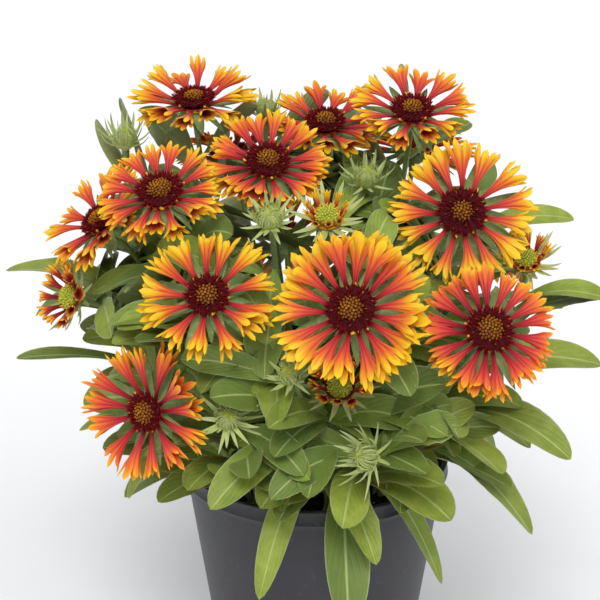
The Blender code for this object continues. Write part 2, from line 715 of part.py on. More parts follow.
def make_soil(collection, cutters):
    """The potting soil: a plug that fills the pot, low and uneven on top, with a plain hole for each crown."""
    bm = bmesh.new()
    count = 20
    rng = random.Random("soil")
    foot_z = POT_FLOOR + GAP
    foot = ring_of(bm, inner_radius(foot_z) - GAP, foot_z, count)
    edge_z = SOIL_TOP - SOIL_EDGE_DROP
    edge = ring_of(bm, inner_radius(edge_z) - GAP, edge_z, count)
    rings = [edge]
    for share in (0.93, 0.82):
        ring = ring_of(bm, inner_radius(edge_z) * share, SOIL_TOP, count, 0.5 * (len(rings) % 2))
        for vert in ring:
            vert.co.z += rng.uniform(-1.0, 1.0) * SOIL_LUMP
        rings.append(ring)
    cap(bm, foot, bm.verts.new((0, 0, foot_z)))
    bridge(bm, foot, edge)
    for low, high in zip(rings, rings[1:]):
        bridge(bm, low, high)
    cap(bm, rings[-1], bm.verts.new((0, 0, SOIL_TOP)))
    bmesh.ops.triangulate(bm, faces=bm.faces)
    soil = object_from("soil", bm, collection, SOIL)
    for name, (x, y) in CROWNS.items():
        hole = bmesh.new()
        bmesh.ops.create_cone(
            hole,
            cap_ends=True,
            segments=CROWN_SIDES,
            radius1=CROWN_R + GAP,
            radius2=CROWN_R + GAP,
            depth=CROWN_DEPTH + 10 * MM,
            matrix=Matrix.Translation(mm(x, y, 0) + Vector((0, 0, SOIL_TOP + 5 * MM - CROWN_DEPTH / 2 - GAP))),
        )
        cutter = object_from(name + " hole", hole, cutters)
        cutter.hide_render = True
        cutter.display_type = "WIRE"
        cut = soil.modifiers.new(name + " hole", "BOOLEAN")
        cut.operation = "DIFFERENCE"
        cut.object = cutter
    return soil


def make_head(head, collection):
    """A head's own coloured nodes; the green calyx is fused into its leafy stem."""
    frame = head_frame(head)
    made = []
    if head.kind == "bud":
        return made
    plans = [("rays", add_rays, YOUNG_RED if head.kind == "young" else RAY_RED)]
    if head.kind == "open":
        plans.append(("disc_ring", add_disc_ring, MAROON))
        plans.append(("disc_centre", add_disc_centre, GOLD))
    elif head.kind == "plain":
        plans.append(("disc", add_whole_disc, MAROON))
    else:
        plans.append(("disc", add_young_disc, LIME))
    for suffix, build, look in plans:
        bm = build(head)
        bmesh.ops.transform(bm, matrix=frame, verts=bm.verts)
        made.append(object_from(head.name + "_" + suffix, bm, collection, look))
    return made


def wishes_by_rule(crown, stems):
    """Leaves wanted by rule on one crown: stem, root height, tip, width and arch for each."""
    low, high, first, last = RULES[crown]
    rng = random.Random("leaves " + crown)
    wishes = []
    for i in range(low):
        azimuth = first + (last - first) * (i + 0.2 + 0.6 * rng.random()) / low
        reach = (98 + 14 * (i % 2) + rng.uniform(-5, 5)) * MM
        tip = facing(azimuth, 0) * reach
        tip.z = (112 + 16 * (i % 2) + rng.uniform(-8, 8)) * MM
        wishes.append((stems[i % len(stems)], 0.12 + 0.05 * (i % 2), tip, 25 * MM, 0.36, RULE_STATIONS))
    for i in range(high):
        stem = stems[i % len(stems)]
        height = 0.22 + 0.58 * (i + rng.random()) / high
        azimuth = first + (last - first) * ((i * 0.62 + rng.random() * 0.4) % 1.0)
        length = (80 - 34 * height) * MM * rng.uniform(0.85, 1.1)
        tip = along(stem, height) + facing(azimuth, 30 - 44 * rng.random()) * length
        wishes.append((stem, height, tip, (25 - 6 * height) * MM, rng.uniform(0.12, 0.24), RULE_STATIONS))
    return wishes


def main():
    clear_scene()
    plant = new_collection("blanket flower plant")
    cutters = new_collection("cutters", hidden=True)
    pot = make_pot(plant)
    soil = make_soil(plant, cutters)

    solid_trees = {}
    green = {name: [crown_object(name, plant)] for name in CROWNS}
    stems = {name: [] for name in CROWNS}
    stem_of = {}
    for head in HEADS:
        coloured = make_head(head, plant)
        calyx = add_calyx(head)
        bmesh.ops.transform(calyx, matrix=head_frame(head), verts=calyx.verts)
        cup = object_from(head.name + " calyx", calyx, plant)
        stem = stem_object(head, plant)
        green[head.crown] += [stem, cup]
        stem_of[head.name] = stem_route(head)
        stems[head.crown].append(stem_of[head.name])
        solid_trees[head.name] = (head.crown, [tree_of(o) for o in coloured + [cup]], tree_of(stem))

    bpy.context.view_layer.update()
    graph = bpy.context.evaluated_depsgraph_get()
    fixed = []
    for obj in (pot, soil):
        mesh = bpy.data.meshes.new_from_object(obj.evaluated_get(graph))
        fixed.append(BVHTree.FromPolygons([v.co for v in mesh.vertices], [p.vertices[:] for p in mesh.polygons]))
        bpy.data.meshes.remove(mesh)

    blades = {name: [] for name in CROWNS}
    wishes = []
    for leaf in LEAVES:
        head_name, height = leaf.root
        shape = (mm(*leaf.tip), leaf.width * MM, leaf.arch, PLACED_STATIONS)
        wishes.append((leaf.crown, stem_of[head_name], height, *shape))
    for crown in CROWNS:
        wishes += [(crown, *wish) for wish in wishes_by_rule(crown, stems[crown])]
    for crown, stem, height, tip, width, arch, stations in wishes:
        own = [blade for blade, _ in blades[crown]]
        others = list(fixed)
        for name, trees in blades.items():
            if name != crown:
                others += [whole for _, whole in trees]
        for head_crown, trees, stem_tree in solid_trees.values():
            others += trees
            if head_crown != crown:
                others.append(stem_tree)
            else:
                own.append(stem_tree)
        found = place_leaf(stem, height, tip, width, arch, stations, own, others)
        if not found:
            print("no room for a leaf on", crown, "at", [round(v / MM) for v in tip])
            continue
        root, moved, blade, whole = found
        blades[crown].append((blade, whole))
        green[crown].append(leaf_object(crown + " leaf", root, moved, width, arch, stations, plant))

    for crown, pieces in green.items():
        fuse("leafy_stem_" + crown, pieces, plant, GREEN)


main()
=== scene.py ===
"""Looks of the potted blanket flower plant: petals, florets, leaves, hairs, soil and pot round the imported
solids, in metres, +Z up, front towards -Y."""

import math
import random
from collections import namedtuple

import bmesh
import bpy
from mathutils import Matrix, Vector
from mathutils.kdtree import KDTree


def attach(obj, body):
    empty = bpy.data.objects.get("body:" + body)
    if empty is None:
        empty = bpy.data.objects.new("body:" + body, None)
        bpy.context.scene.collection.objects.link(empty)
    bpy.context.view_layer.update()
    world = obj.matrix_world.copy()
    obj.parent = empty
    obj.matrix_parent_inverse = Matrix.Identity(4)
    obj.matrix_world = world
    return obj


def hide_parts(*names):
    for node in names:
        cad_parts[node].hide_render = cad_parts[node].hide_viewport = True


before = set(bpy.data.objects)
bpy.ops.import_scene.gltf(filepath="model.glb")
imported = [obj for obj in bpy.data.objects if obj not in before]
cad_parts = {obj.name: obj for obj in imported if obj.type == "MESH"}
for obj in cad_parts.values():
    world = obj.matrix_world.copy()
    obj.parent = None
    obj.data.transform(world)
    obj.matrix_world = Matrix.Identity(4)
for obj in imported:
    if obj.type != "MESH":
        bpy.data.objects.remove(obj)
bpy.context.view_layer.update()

MM = 0.001

# Pot and soil, as in the solids
POT_HEIGHT = 120 * MM
POT_RIM_R = 70 * MM
POT_BASE_R = 51 * MM
POT_WALL = 1.4 * MM
POT_BAND = 8 * MM
POT_BAND_STEP = 2 * MM
POT_FLOOR = 2 * MM
SOIL_TOP = 108 * MM
GAP = 0.4 * MM

# Crowns, stems and leaves, as in the solids
CROWN_R = 5 * MM
CROWN_DEPTH = 22 * MM
CROWN_SPREAD = 2.4 * MM
STEM_SEGMENTS = 4
LEAF_FOLD = 0.22
LEAF_FULL = 1.5
LEAF_STALK = 0.06
LEAF_LEAN = 0.8
LEAF_LEAN_R = 60 * MM
LEAF_TRIES = 36
TIP_MATCH = 0.05 * MM

# Flower heads, as in the solids: heights along the head's own axis
COLLAR_LOW = -1.2 * MM
COLLAR_TOP = 0.8 * MM
CALYX_TOP = -1.6 * MM
CALYX_SIDE = 1.5 * MM
CALYX_DEPTH = 8 * MM
DISC_UNDER = 1.2 * MM

# Looks only
STEM_R_LOW = 1.7 * MM
STEM_R_TOP = 1.25 * MM
LEAF_ROWS = 16
LEAF_COLUMNS = 6
LEAF_SHEET = 0.45 * MM
LEAF_TOOTHED = 0.35
CREASE = math.radians(80)
PETAL_SHEET = 0.28 * MM
PETAL_BASE_R = 1.0 * MM
FINGER_START = 0.74
FINGER_EDGE = 0.17
PETAL_ROWS = (0.0, 0.16, 0.32, 0.46, 0.60, FINGER_START)
THROAT_ROWS = (FINGER_START, 0.60, 0.46)
THROAT_END = 0.36
FLUTE = 0.15
STEM_ROWS = 18
BRACT_ROWS = 7
GOLDEN_ANGLE = 2.39996
HAIR_DENSITY = 560000.0
HAIR_LENGTH = 1.1 * MM
HAIR_R = 0.06 * MM
CRUMB_DENSITY = 105000.0
CRUMB_SIZE = 1.5 * MM

# Room for the extra leaves: the plant's outline, and what they keep clear of
FILL_LEAVES = 22
FILL_TRIES = 60
FILL_LOWEST = 0.1
FILL_HIGH = 0.55
FILL_TOOTHED = 0.2
FILL_SPOTS = (0.35, 0.5, 0.65, 0.8, 0.92, 1.0)
HEAD_BEHIND = 8 * MM
HEAD_BEFORE = 70 * MM
HEAD_ROOM = 1.2
BUD_ROOM = 9
NEARER = 0.985
RIM_ROOM = 4 * MM
SIDE_ROOM = 10 * MM
PLANT_R = 126 * MM
PLANT_SHOULDER = 200 * MM
PLANT_TAPER = 0.45
PLANT_TOP = 306 * MM

# Camera and floor
FLOOR_HALF = 12.0
EYE = Vector((-0.008, -0.906, 0.543))
EYE_PITCH = 20.4
EYE_LENS = 113.2

Head = namedtuple("Head", "name kind at az el reach rays cup disc gold crown")
Leaf = namedtuple("Leaf", "crown root tip width arch")


def mm(x, y, z):
    return Vector((x, y, z)) * MM


# Crowns: where each leafy stem stands in the soil, in millimetres from the pot's middle.
CROWNS = {
    "front": (6, -20),
    "low_front": (8, -44),
    "inner_left": (-16, -22),
    "low_left": (-30, -38),
    "left": (-40, -6),
    "top_left": (-24, 10),
    "top": (-5, -1),
    "top_right": (16, 4),
    "right": (34, -22),
    "back_left": (-14, 32),
    "back_right": (26, 28),
}

# name, kind, centre in mm, facing azimuth (from -Y towards +X) and elevation, reach of the rays in mm,
# number of rays, cup angle, radius of the disc and of its golden middle in mm, crown.
HEADS = [
    Head("bloom_01", "open", (16, -97, 237), -12, 32, 38, 18, 14, 11.0, 5.6, "front"),
    Head("bloom_02", "open", (80, -86, 222), 8, 42, 34, 19, 4, 10.4, 6.0, "right"),
    Head("bloom_03", "open", (70, -36, 264), 3, 34, 37, 15, 9, 11.3, 5.0, "right"),
    Head("bloom_04", "open", (-51, -80, 237), -3, 38, 34, 13, 20, 9.4, 5.0, "inner_left"),
    Head("bloom_05", "open", (-75, -38, 274), -10, 60, 32, 15, 9, 10.6, 6.0, "left"),
    Head("bloom_06", "open", (-24, -10, 281), 4, 58, 32, 16, 13, 10.2, 5.5, "top"),
    Head("bloom_07", "open", (-62, 32, 301), -8, 76, 34, 14, 16, 9.6, 5.2, "top_left"),
    Head("bloom_08", "open", (48, 12, 301), 2, 65, 32, 12, 17, 9.6, 5.2, "top_right"),
    Head("bloom_09", "open", (-80, -78, 178), -32, 14, 35, 13, 18, 8.6, 5.4, "low_left"),
    Head("bloom_10", "plain", (5, 41, 287), 5, 68, 30, 13, 16, 9.2, 5.2, "top"),
    Head("bloom_11", "plain", (-107, -4, 249), -60, 48, 33, 12, 20, 9.2, 5.2, "left"),
    Head("bloom_12", "plain", (54, 74, 264), 160, 60, 34, 13, 12, 10.0, 5.5, "back_right"),
    Head("bloom_13", "plain", (-46, 88, 256), 205, 52, 34, 14, 12, 10.0, 5.5, "back_left"),
    Head("bloom_14", "plain", (96, 88, 204), 130, 32, 33, 13, 14, 9.6, 5.4, "back_right"),
    Head("bloom_15", "plain", (-14, 124, 196), 182, 26, 34, 13, 14, 10.0, 5.6, "back_left"),
    Head("young_bloom_1", "young", (-123, -20, 215), -50, 22, 19, 10, 46, 7.4, 5.4, "left"),
    Head("young_bloom_2", "young", (11, -78, 191), -5, 44, 17, 10, 56, 7.4, 5.4, "low_front"),
    Head("young_bloom_3", "young", (104, -24, 236), -15, 58, 15, 10, 60, 7.0, 5.0, "right"),
    Head("young_bloom_4", "young", (5, -50, 267), 0, 56, 12, 10, 66, 7.4, 5.6, "front"),
    Head("bud_1", "bud", (-22, -67, 272), -5, 48, 12, 9, 34, 5.4, 0, "inner_left"),
    Head("bud_2", "bud", (25, -8, 274), 0, 62, 15, 9, 42, 4.8, 0, "top_right"),
    Head("bud_3", "bud", (-97, 20, 286), 0, 74, 16, 9, 50, 4.8, 0, "top_left"),
    Head("bud_4", "bud", (-42, -90, 180), 5, 40, 15, 9, 14, 4.8, 0, "low_left"),
    Head("bud_5", "bud", (-13, -92, 203), -20, 48, 11, 8, 24, 4.2, 0, "low_front"),
    Head("bud_6", "bud", (23, -101, 165), -48, 22, 17, 9, 38, 5.2, 0, "low_front"),
    Head("bud_7", "bud", (-26, 64, 290), 10, 80, 14, 9, 52, 4.8, 0, "top"),
    Head("bud_8", "bud", (-98, 80, 216), 220, 52, 14, 9, 36, 5.0, 0, "back_left"),
]

# Leaves placed one by one: crown, root as a head's name and the height along its stem, from 0 at the soil
# to 1 at the head, tip in mm, width in mm and arch as a share of the leaf's length.
LEAVES = [
    Leaf("low_front", ("bud_6", 0.14), (16, -102, 72), 27, 0.40),
    Leaf("low_front", ("bud_6", 0.36), (12, -110, 132), 24, 0.20),
    Leaf("low_front", ("bud_6", 0.26), (64, -102, 132), 27, 0.18),
    Leaf("low_front", ("bud_5", 0.20), (29, -94, 104), 18, 0.30),
    Leaf("low_front", ("young_bloom_2", 0.15), (52, -92, 84), 16, 0.46),
    Leaf("low_front", ("bud_5", 0.14), (-28, -96, 86), 17, 0.50),
    Leaf("low_front", ("bud_5", 0.36), (-50, -112, 143), 22, 0.18),
    Leaf("low_front", ("bud_5", 0.66), (-50, -98, 194), 20, 0.12),
    Leaf("low_front", ("young_bloom_2", 0.52), (60, -96, 200), 24, 0.10),
    Leaf("low_front", ("young_bloom_2", 0.60), (-20, -108, 168), 19, 0.16),
    Leaf("low_left", ("bud_4", 0.18), (-78, -70, 126), 21, 0.24),
    Leaf("low_left", ("bud_4", 0.30), (-62, -90, 142), 21, 0.24),
    Leaf("low_left", ("bud_4", 0.48), (-68, -88, 166), 21, 0.16),
    Leaf("low_left", ("bloom_09", 0.40), (-116, -44, 168), 26, 0.20),
    Leaf("low_left", ("bloom_09", 0.14), (-98, -36, 112), 22, 0.34),
    Leaf("left", ("bloom_11", 0.40), (-158, 0, 222), 26, 0.16),
    Leaf("left", ("young_bloom_1", 0.34), (-152, -20, 182), 14, 0.10),
    Leaf("left", ("young_bloom_1", 0.20), (-118, 8, 150), 25, 0.26),
    Leaf("left", ("bloom_05", 0.50), (-126, 24, 240), 20, 0.16),
    Leaf("left", ("bloom_05", 0.36), (-104, -52, 206), 22, 0.18),
    Leaf("top_left", ("bud_3", 0.66), (-112, 34, 300), 24, 0.06),
    Leaf("top_left", ("bloom_07", 0.76), (-88, 44, 298), 24, 0.12),
    Leaf("top_left", ("bloom_07", 0.84), (-30, 52, 294), 24, 0.12),
    Leaf("top_left", ("bloom_07", 0.62), (-92, -8, 268), 22, 0.12),
    Leaf("top", ("bloom_06", 0.66), (-48, -40, 240), 22, 0.14),
    Leaf("top", ("bloom_10", 0.84), (17, 66, 312), 18, 0.05),
    Leaf("top", ("bloom_10", 0.66), (32, 20, 262), 22, 0.12),
    Leaf("top_right", ("bloom_08", 0.88), (38, 48, 318), 18, 0.06),
    Leaf("top_right", ("bloom_08", 0.86), (80, 36, 290), 21, 0.10),
    Leaf("top_right", ("bloom_08", 0.72), (48, -24, 266), 20, 0.14),
    Leaf("top_right", ("bloom_08", 0.58), (84, 34, 252), 24, 0.16),
    Leaf("right", ("bloom_03", 0.76), (132, 12, 246), 15, 0.12),
    Leaf("right", ("young_bloom_3", 0.62), (148, -10, 212), 22, 0.16),
    Leaf("right", ("bloom_02", 0.55), (142, -38, 186), 25, 0.14),
    Leaf("right", ("bloom_02", 0.20), (124, -72, 150), 27, 0.26),
    Leaf("right", ("bloom_02", 0.13), (106, -78, 112), 26, 0.34),
    Leaf("right", ("bloom_02", 0.30), (92, -98, 152), 27, 0.18),
    Leaf("right", ("bloom_02", 0.44), (66, -104, 176), 21, 0.14),
    Leaf("front", ("bloom_01", 0.44), (-24, -84, 186), 24, 0.20),
    Leaf("front", ("bloom_01", 0.60), (46, -84, 232), 22, 0.12),
    Leaf("front", ("young_bloom_4", 0.66), (38, -60, 246), 20, 0.16),
    Leaf("inner_left", ("bloom_04", 0.42), (-98, -70, 204), 22, 0.18),
    Leaf("inner_left", ("bloom_04", 0.60), (-84, -84, 212), 18, 0.14),
    Leaf("inner_left", ("bud_1", 0.76), (-25, -86, 198), 24, 0.14),
    Leaf("back_left", ("bloom_13", 0.40), (-96, 96, 166), 25, 0.24),
    Leaf("back_left", ("bud_8", 0.34), (-124, 46, 172), 25, 0.20),
    Leaf("back_left", ("bloom_13", 0.66), (-58, 122, 218), 22, 0.16),
    Leaf("back_left", ("bloom_15", 0.50), (34, 134, 166), 24, 0.18),
    Leaf("back_right", ("bloom_14", 0.30), (52, 116, 124), 25, 0.28),
    Leaf("back_right", ("bloom_14", 0.50), (136, 62, 178), 25, 0.18),
    Leaf("back_right", ("bloom_12", 0.66), (62, 116, 220), 24, 0.16),
    Leaf("back_right", ("bloom_12", 0.52), (114, 36, 212), 24, 0.16),
]

# Leaves behind the upper blooms and buds, which only this script adds
BACKING = [
    Leaf("top_left", ("bud_3", 0.70), (-113, 36, 292), 24, 0.10),
    Leaf("top_left", ("bloom_07", 0.72), (-88, 66, 289), 22, 0.12),
    Leaf("top_left", ("bloom_07", 0.66), (-46, 62, 281), 22, 0.12),
    Leaf("top_right", ("bloom_08", 0.70), (24, 48, 279), 21, 0.12),
    Leaf("top_right", ("bud_2", 0.66), (40, 34, 270), 21, 0.14),
    Leaf("top", ("bloom_10", 0.70), (28, 82, 280), 20, 0.12),
    Leaf("left", ("bloom_05", 0.72), (-98, 18, 262), 22, 0.14),
]

# Leaves by rule on each crown: how many low ones arch out over the rim, how many fill it higher up, and
# the sector that they point into, in degrees from -Y.
RULES = {
    "front": (0, 3, -60, 60),
    "low_front": (0, 1, -50, 50),
    "inner_left": (0, 3, -110, 0),
    "low_left": (1, 2, -110, -60),
    "left": (3, 3, -155, -80),
    "top_left": (0, 4, 190, 300),
    "top": (0, 3, 60, 300),
    "top_right": (0, 4, 40, 200),
    "right": (3, 3, 62, 116),
    "back_left": (4, 3, 175, 265),
    "back_right": (4, 4, 95, 185),
}

# For some blooms: how wide and how flat the petals' mouths are, and how far towards yellow (+) or red (-)
# the petals lean. The others take PLAIN_LOOK.
BLOOM_LOOKS = {
    "bloom_01": (1.36, 0.40, 0.05),
    "bloom_02": (1.10, 0.50, -0.13),
    "bloom_03": (1.16, 0.46, 0.10),
    "bloom_04": (1.10, 0.56, 0.08),
    "bloom_05": (1.06, 0.60, 0.0),
    "bloom_06": (1.10, 0.60, -0.02),
    "bloom_07": (1.12, 0.60, 0.08),
    "bloom_08": (1.06, 0.56, 0.0),
    "bloom_09": (1.00, 0.56, -0.12),
    "young_bloom_3": (0.90, 0.70, 0.06),
    "young_bloom_4": (1.10, 0.80, 0.26),
}
PLAIN_LOOK = (1.10, 0.56, 0.0)
YOUNG_LOOK = (1.0, 0.66, 0.0)

# Curled threads that close over a bud: how many, where they root as a share of its radius, how high in mm,
# their length in radii and their rise in degrees.
CURLED_WHORLS = [
    (17, 1.0, 0.6, 1.9, 52),
    (16, 0.98, 1.4, 1.6, 68),
    (15, 0.9, 2.2, 1.4, 80),
]


def facing(azimuth, elevation):
    """Unit vector: azimuth in degrees from -Y towards +X, elevation above the floor."""
    a = math.radians(azimuth)
    e = math.radians(elevation)
    return Vector((math.sin(a) * math.cos(e), -math.cos(a) * math.cos(e), math.sin(e)))


def head_frame(head):
    """Matrix from a head's own frame, with its axis along Z and X level, to the world."""
    axis = facing(head.az, head.el)
    side = Vector((0, 0, 1)).cross(axis).normalized()
    up = axis.cross(side)
    placed = Matrix((side, up, axis)).transposed().to_4x4()
    placed.translation = mm(*head.at)
    return placed


def polar(radius, angle, z):
    return Vector((radius * math.cos(angle), radius * math.sin(angle), z))


def collar_radii(head):
    """Inner and outer radius of the ring that carries the rays."""
    if head.kind == "young":
        return (head.disc - 1.2) * MM, head.disc * MM
    return (head.gold + 1.1) * MM, (head.disc - 1.4) * MM


def ray_turns(head):
    """For each ray: its sideways and upward turn in degrees and its length factor, seeded by the head."""
    rng = random.Random("rays " + head.name)
    turns = []
    for i in range(head.rays):
        layer = 1 if i % 2 else -1
        lift = layer * (6.0 if head.kind != "young" else 3.0)
        turns.append((rng.uniform(-1.5, 1.5), lift + rng.uniform(-1.5, 1.5), rng.uniform(0.92, 1.04)))
    return turns


def ray_lobe_width(head, reach, cup):
    """Half width of a ray's mouth in the solids."""
    ring = reach * math.cos(math.radians(cup)) + collar_radii(head)[1] * 0.3
    pitch = math.tau * ring / head.rays
    return min(5.4 * MM, 0.41 * pitch)


def bract_plan(head):
    """Count, length and upward angle of the bracts round a head's calyx."""
    if head.kind == "bud":
        return head.rays, head.reach * MM, head.cup
    if head.kind == "young":
        return 9, 15 * MM, 20
    return 8, head.reach * 0.62 * MM, max(head.cup - 26, -24)


def calyx_radius(head):
    if head.kind == "bud":
        return head.disc * MM
    return collar_radii(head)[1]


def bezier(points, t):
    a, b, c, d = points
    s = 1 - t
    return a * s ** 3 + b * (3 * s * s * t) + c * (3 * s * t * t) + d * t ** 3


def stem_guides(head):
    """The four guide points of a head's stem, from inside its crown to inside its calyx."""
    x, y = CROWNS[head.crown]
    mates = [other.name for other in HEADS if other.crown == head.crown]
    turn = math.atan2(head.at[1] - y, head.at[0] - x)
    turn += math.radians(70) * (mates.index(head.name) - (len(mates) - 1) / 2)
    start = mm(x, y, 0) + polar(CROWN_SPREAD, turn, SOIL_TOP + 0.6 * MM)
    axis = facing(head.az, head.el)
    end = mm(*head.at) - axis * (CALYX_DEPTH - 1.6 * MM)
    span = (end - start).length
    lean = Vector(((end - start).x, (end - start).y, 0)) * 0.22
    return start, start + lean + Vector((0, 0, span * 0.42)), end - axis * span * 0.26, end


def stem_route(guides):
    """The straight runs that the solids follow along a stem."""
    return [bezier(guides, i / STEM_SEGMENTS) for i in range(STEM_SEGMENTS + 1)]


def along(route, share):
    """The point at a share of a route of straight runs."""
    place = share * (len(route) - 1)
    run = min(int(place), len(route) - 2)
    return route[run].lerp(route[run + 1], place - run)


def leaf_frame(root, tip, arch, t):
    """Point, forward direction and side direction of a leaf's midrib at t."""
    span = tip - root
    middle = root + span * 0.45 + Vector((0, 0, 1)) * span.length * arch * 1.6
    s = 1 - t
    point = root * s * s + middle * (2 * s * t) + tip * t * t
    forward = ((middle - root) * (2 * s) + (tip - middle) * (2 * t)).normalized()
    outward = Vector((middle.x, middle.y, 0))
    lean = min(1.0, outward.length / LEAF_LEAN_R)
    normal = outward.normalized() * LEAF_LEAN * lean + Vector((0, 0, 1)) * (1 - 0.35 * lean)
    side = forward.cross(normal)
    return point, forward, side.normalized()


def leaf_half_width(t):
    """Half width as a share of the leaf's width: a narrow stalk, a broad blade and a blunt point."""
    blade = max(0.0, (t - LEAF_STALK) / (1 - LEAF_STALK))
    return max(0.5 * LEAF_FULL * blade ** 0.9 * (1 - blade ** 3.4) ** 0.62, LEAF_STALK * (1 - t))


def turned_tip(root, tip, step):
    """The tip swung and raised about the root: further for each later step."""
    if step == 0:
        return tip
    reach = 4.0 + 1.6 * step
    angle = step * 2.4
    swing = Matrix.Rotation(math.radians(reach * math.cos(angle)), 3, "Z")
    span = swing @ (tip - root)
    side = span.cross(Vector((0, 0, 1))).normalized()
    return root + Matrix.Rotation(math.radians(reach * 0.8 * math.sin(angle)), 3, side) @ span


def wishes_by_rule(crown, stems):
    """Leaves wanted by rule on one crown: stem number, root height, tip, width and arch for each."""
    low, high, first, last = RULES[crown]
    rng = random.Random("leaves " + crown)
    wishes = []
    for i in range(low):
        azimuth = first + (last - first) * (i + 0.2 + 0.6 * rng.random()) / low
        reach = (98 + 14 * (i % 2) + rng.uniform(-5, 5)) * MM
        tip = facing(azimuth, 0) * reach
        tip.z = (112 + 16 * (i % 2) + rng.uniform(-8, 8)) * MM
        wishes.append((i % len(stems), 0.12 + 0.05 * (i % 2), tip, 25 * MM, 0.36))
    for i in range(high):
        stem = i % len(stems)
        height = 0.22 + 0.58 * (i + rng.random()) / high
        azimuth = first + (last - first) * ((i * 0.62 + rng.random() * 0.4) % 1.0)
        length = (80 - 34 * height) * MM * rng.uniform(0.85, 1.1)
        tip = along(stems[stem], height) + facing(azimuth, 30 - 44 * rng.random()) * length
        wishes.append((stem, height, tip, (25 - 6 * height) * MM, rng.uniform(0.12, 0.24)))
    return wishes


class Growth:
    """Points, faces, finishes and growth guides of one piece, gathered before it becomes a mesh.

    The growth guide of a point is its share along the petal or leaf, its share across it, 1 on the under or
    inner side, and a number by chance that its whole petal or leaf shares. downy is how hairy a green part
    is, how thickly crumbs lie on the soil, and 1 in the grooves of a petal, where its finish paints shade."""

    def __init__(self):
        self.points = []
        self.faces = []
        self.finishes = []
        self.guides = []
        self.downy = []

    def point(self, place, share, across=0.5, side=0.0, chance=0.0, downy=0.0):
        self.points.append(place)
        self.guides.append((share, across, side, chance))
        self.downy.append(downy)
        return len(self.points) - 1

    def face(self, corners, finish=0):
        self.faces.append(corners)
        self.finishes.append(finish)

    def bridge(self, low, high, finish=0):
        """Faces between two closed rings of the same count."""
        count = len(low)
        for i in range(count):
            j = (i + 1) % count
            self.face((low[i], low[j], high[j], high[i]), finish)

    def close(self, ring, middle, finish=0):
        """Faces from a closed ring to one point."""
        for i in range(len(ring)):
            self.face((ring[i], ring[(i + 1) % len(ring)], middle), finish)

    def turned(self, matrix, first=0):
        """The points from the given one on, moved by a matrix."""
        for i in range(first, len(self.points)):
            self.points[i] = matrix @ self.points[i]

    def made(self, name, finishes):
        """A mesh object with its faces outwards, smooth, carrying the guides."""
        mesh = bpy.data.meshes.new(name)
        mesh.from_pydata(self.points, [], self.faces)
        for finish in finishes:
            mesh.materials.append(finish)
        mesh.polygons.foreach_set("material_index", self.finishes)
        mesh.polygons.foreach_set("use_smooth", [True] * len(self.faces))
        guides = mesh.attributes.new("growth", "FLOAT_COLOR", "POINT")
        guides.data.foreach_set("color", [value for guide in self.guides for value in guide])
        downy = mesh.attributes.new("downy", "FLOAT", "POINT")
        downy.data.foreach_set("value", self.downy)
        bm = bmesh.new()
        bm.from_mesh(mesh)
        bmesh.ops.recalc_face_normals(bm, faces=bm.faces)
        for edge in bm.edges:
            edge.smooth = edge.calc_face_angle(0.0) < CREASE
        bm.to_mesh(mesh)
        bm.free()
        obj = bpy.data.objects.new(name, mesh)
        bpy.context.scene.collection.objects.link(obj)
        return obj


def joined(first, *others):
    """The objects made one, under the first one's name."""
    everything = [first, *others]
    with bpy.context.temp_override(active_object=first, selected_editable_objects=everything):
        bpy.ops.object.join()
    return first


# Node trees

def add_node(tree, kind, inputs=None, **settings):
    """A node with its settings and its inputs, each a value or another node's output."""
    node = tree.nodes.new(kind)
    for name, value in settings.items():
        setattr(node, name, value)
    for socket, value in (inputs or {}).items():
        if isinstance(value, bpy.types.NodeSocket):
            tree.links.new(value, node.inputs[socket])
        else:
            node.inputs[socket].default_value = value
    return node


def calc(tree, operation, a, b=0.0, clamp=False):
    return add_node(tree, "ShaderNodeMath", {0: a, 1: b}, operation=operation, use_clamp=clamp).outputs[0]


def plus(tree, a, b):
    return calc(tree, "ADD", a, b)


def minus(tree, a, b):
    return calc(tree, "SUBTRACT", a, b)


def times(tree, a, b):
    return calc(tree, "MULTIPLY", a, b)


def new_tree(name, sizes):
    """A Geometry Nodes tree that takes a mesh and the named sizes: each is a socket kind and a name."""
    tree = bpy.data.node_groups.new(name, "GeometryNodeTree")
    tree.interface.new_socket("Geometry", in_out="INPUT", socket_type="NodeSocketGeometry")
    for size, kind in sizes:
        tree.interface.new_socket(size, in_out="INPUT", socket_type="NodeSocket" + kind)
    tree.interface.new_socket("Geometry", in_out="OUTPUT", socket_type="NodeSocketGeometry")
    return tree, tree.nodes.new("NodeGroupInput").outputs


def end_tree(tree, instances, finish):
    """Realize Instances, smooth shading and Set Material, then the output."""
    real = add_node(tree, "GeometryNodeRealizeInstances", {0: instances})
    smooth = add_node(tree, "GeometryNodeSetShadeSmooth", {0: real.outputs[0]})
    painted = add_node(tree, "GeometryNodeSetMaterial", {0: smooth.outputs[0], "Material": finish})
    add_node(tree, "NodeGroupOutput", {0: painted.outputs[0]})


def by_chance(tree, low, high, seed):
    """A number by chance for each point."""
    node = add_node(tree, "FunctionNodeRandomValue", {2: low, 3: high, "Seed": seed}, data_type="FLOAT")
    return node.outputs[1]


def vector_by_chance(tree, low, high, seed):
    """Three numbers by chance for each point."""
    return add_node(tree, "FunctionNodeRandomValue", {0: low, 1: high, "Seed": seed},
                    data_type="FLOAT_VECTOR").outputs[0]


def scaled(tree, vector, size):
    return add_node(tree, "ShaderNodeVectorMath", {0: vector, "Scale": size}, operation="SCALE").outputs[0]


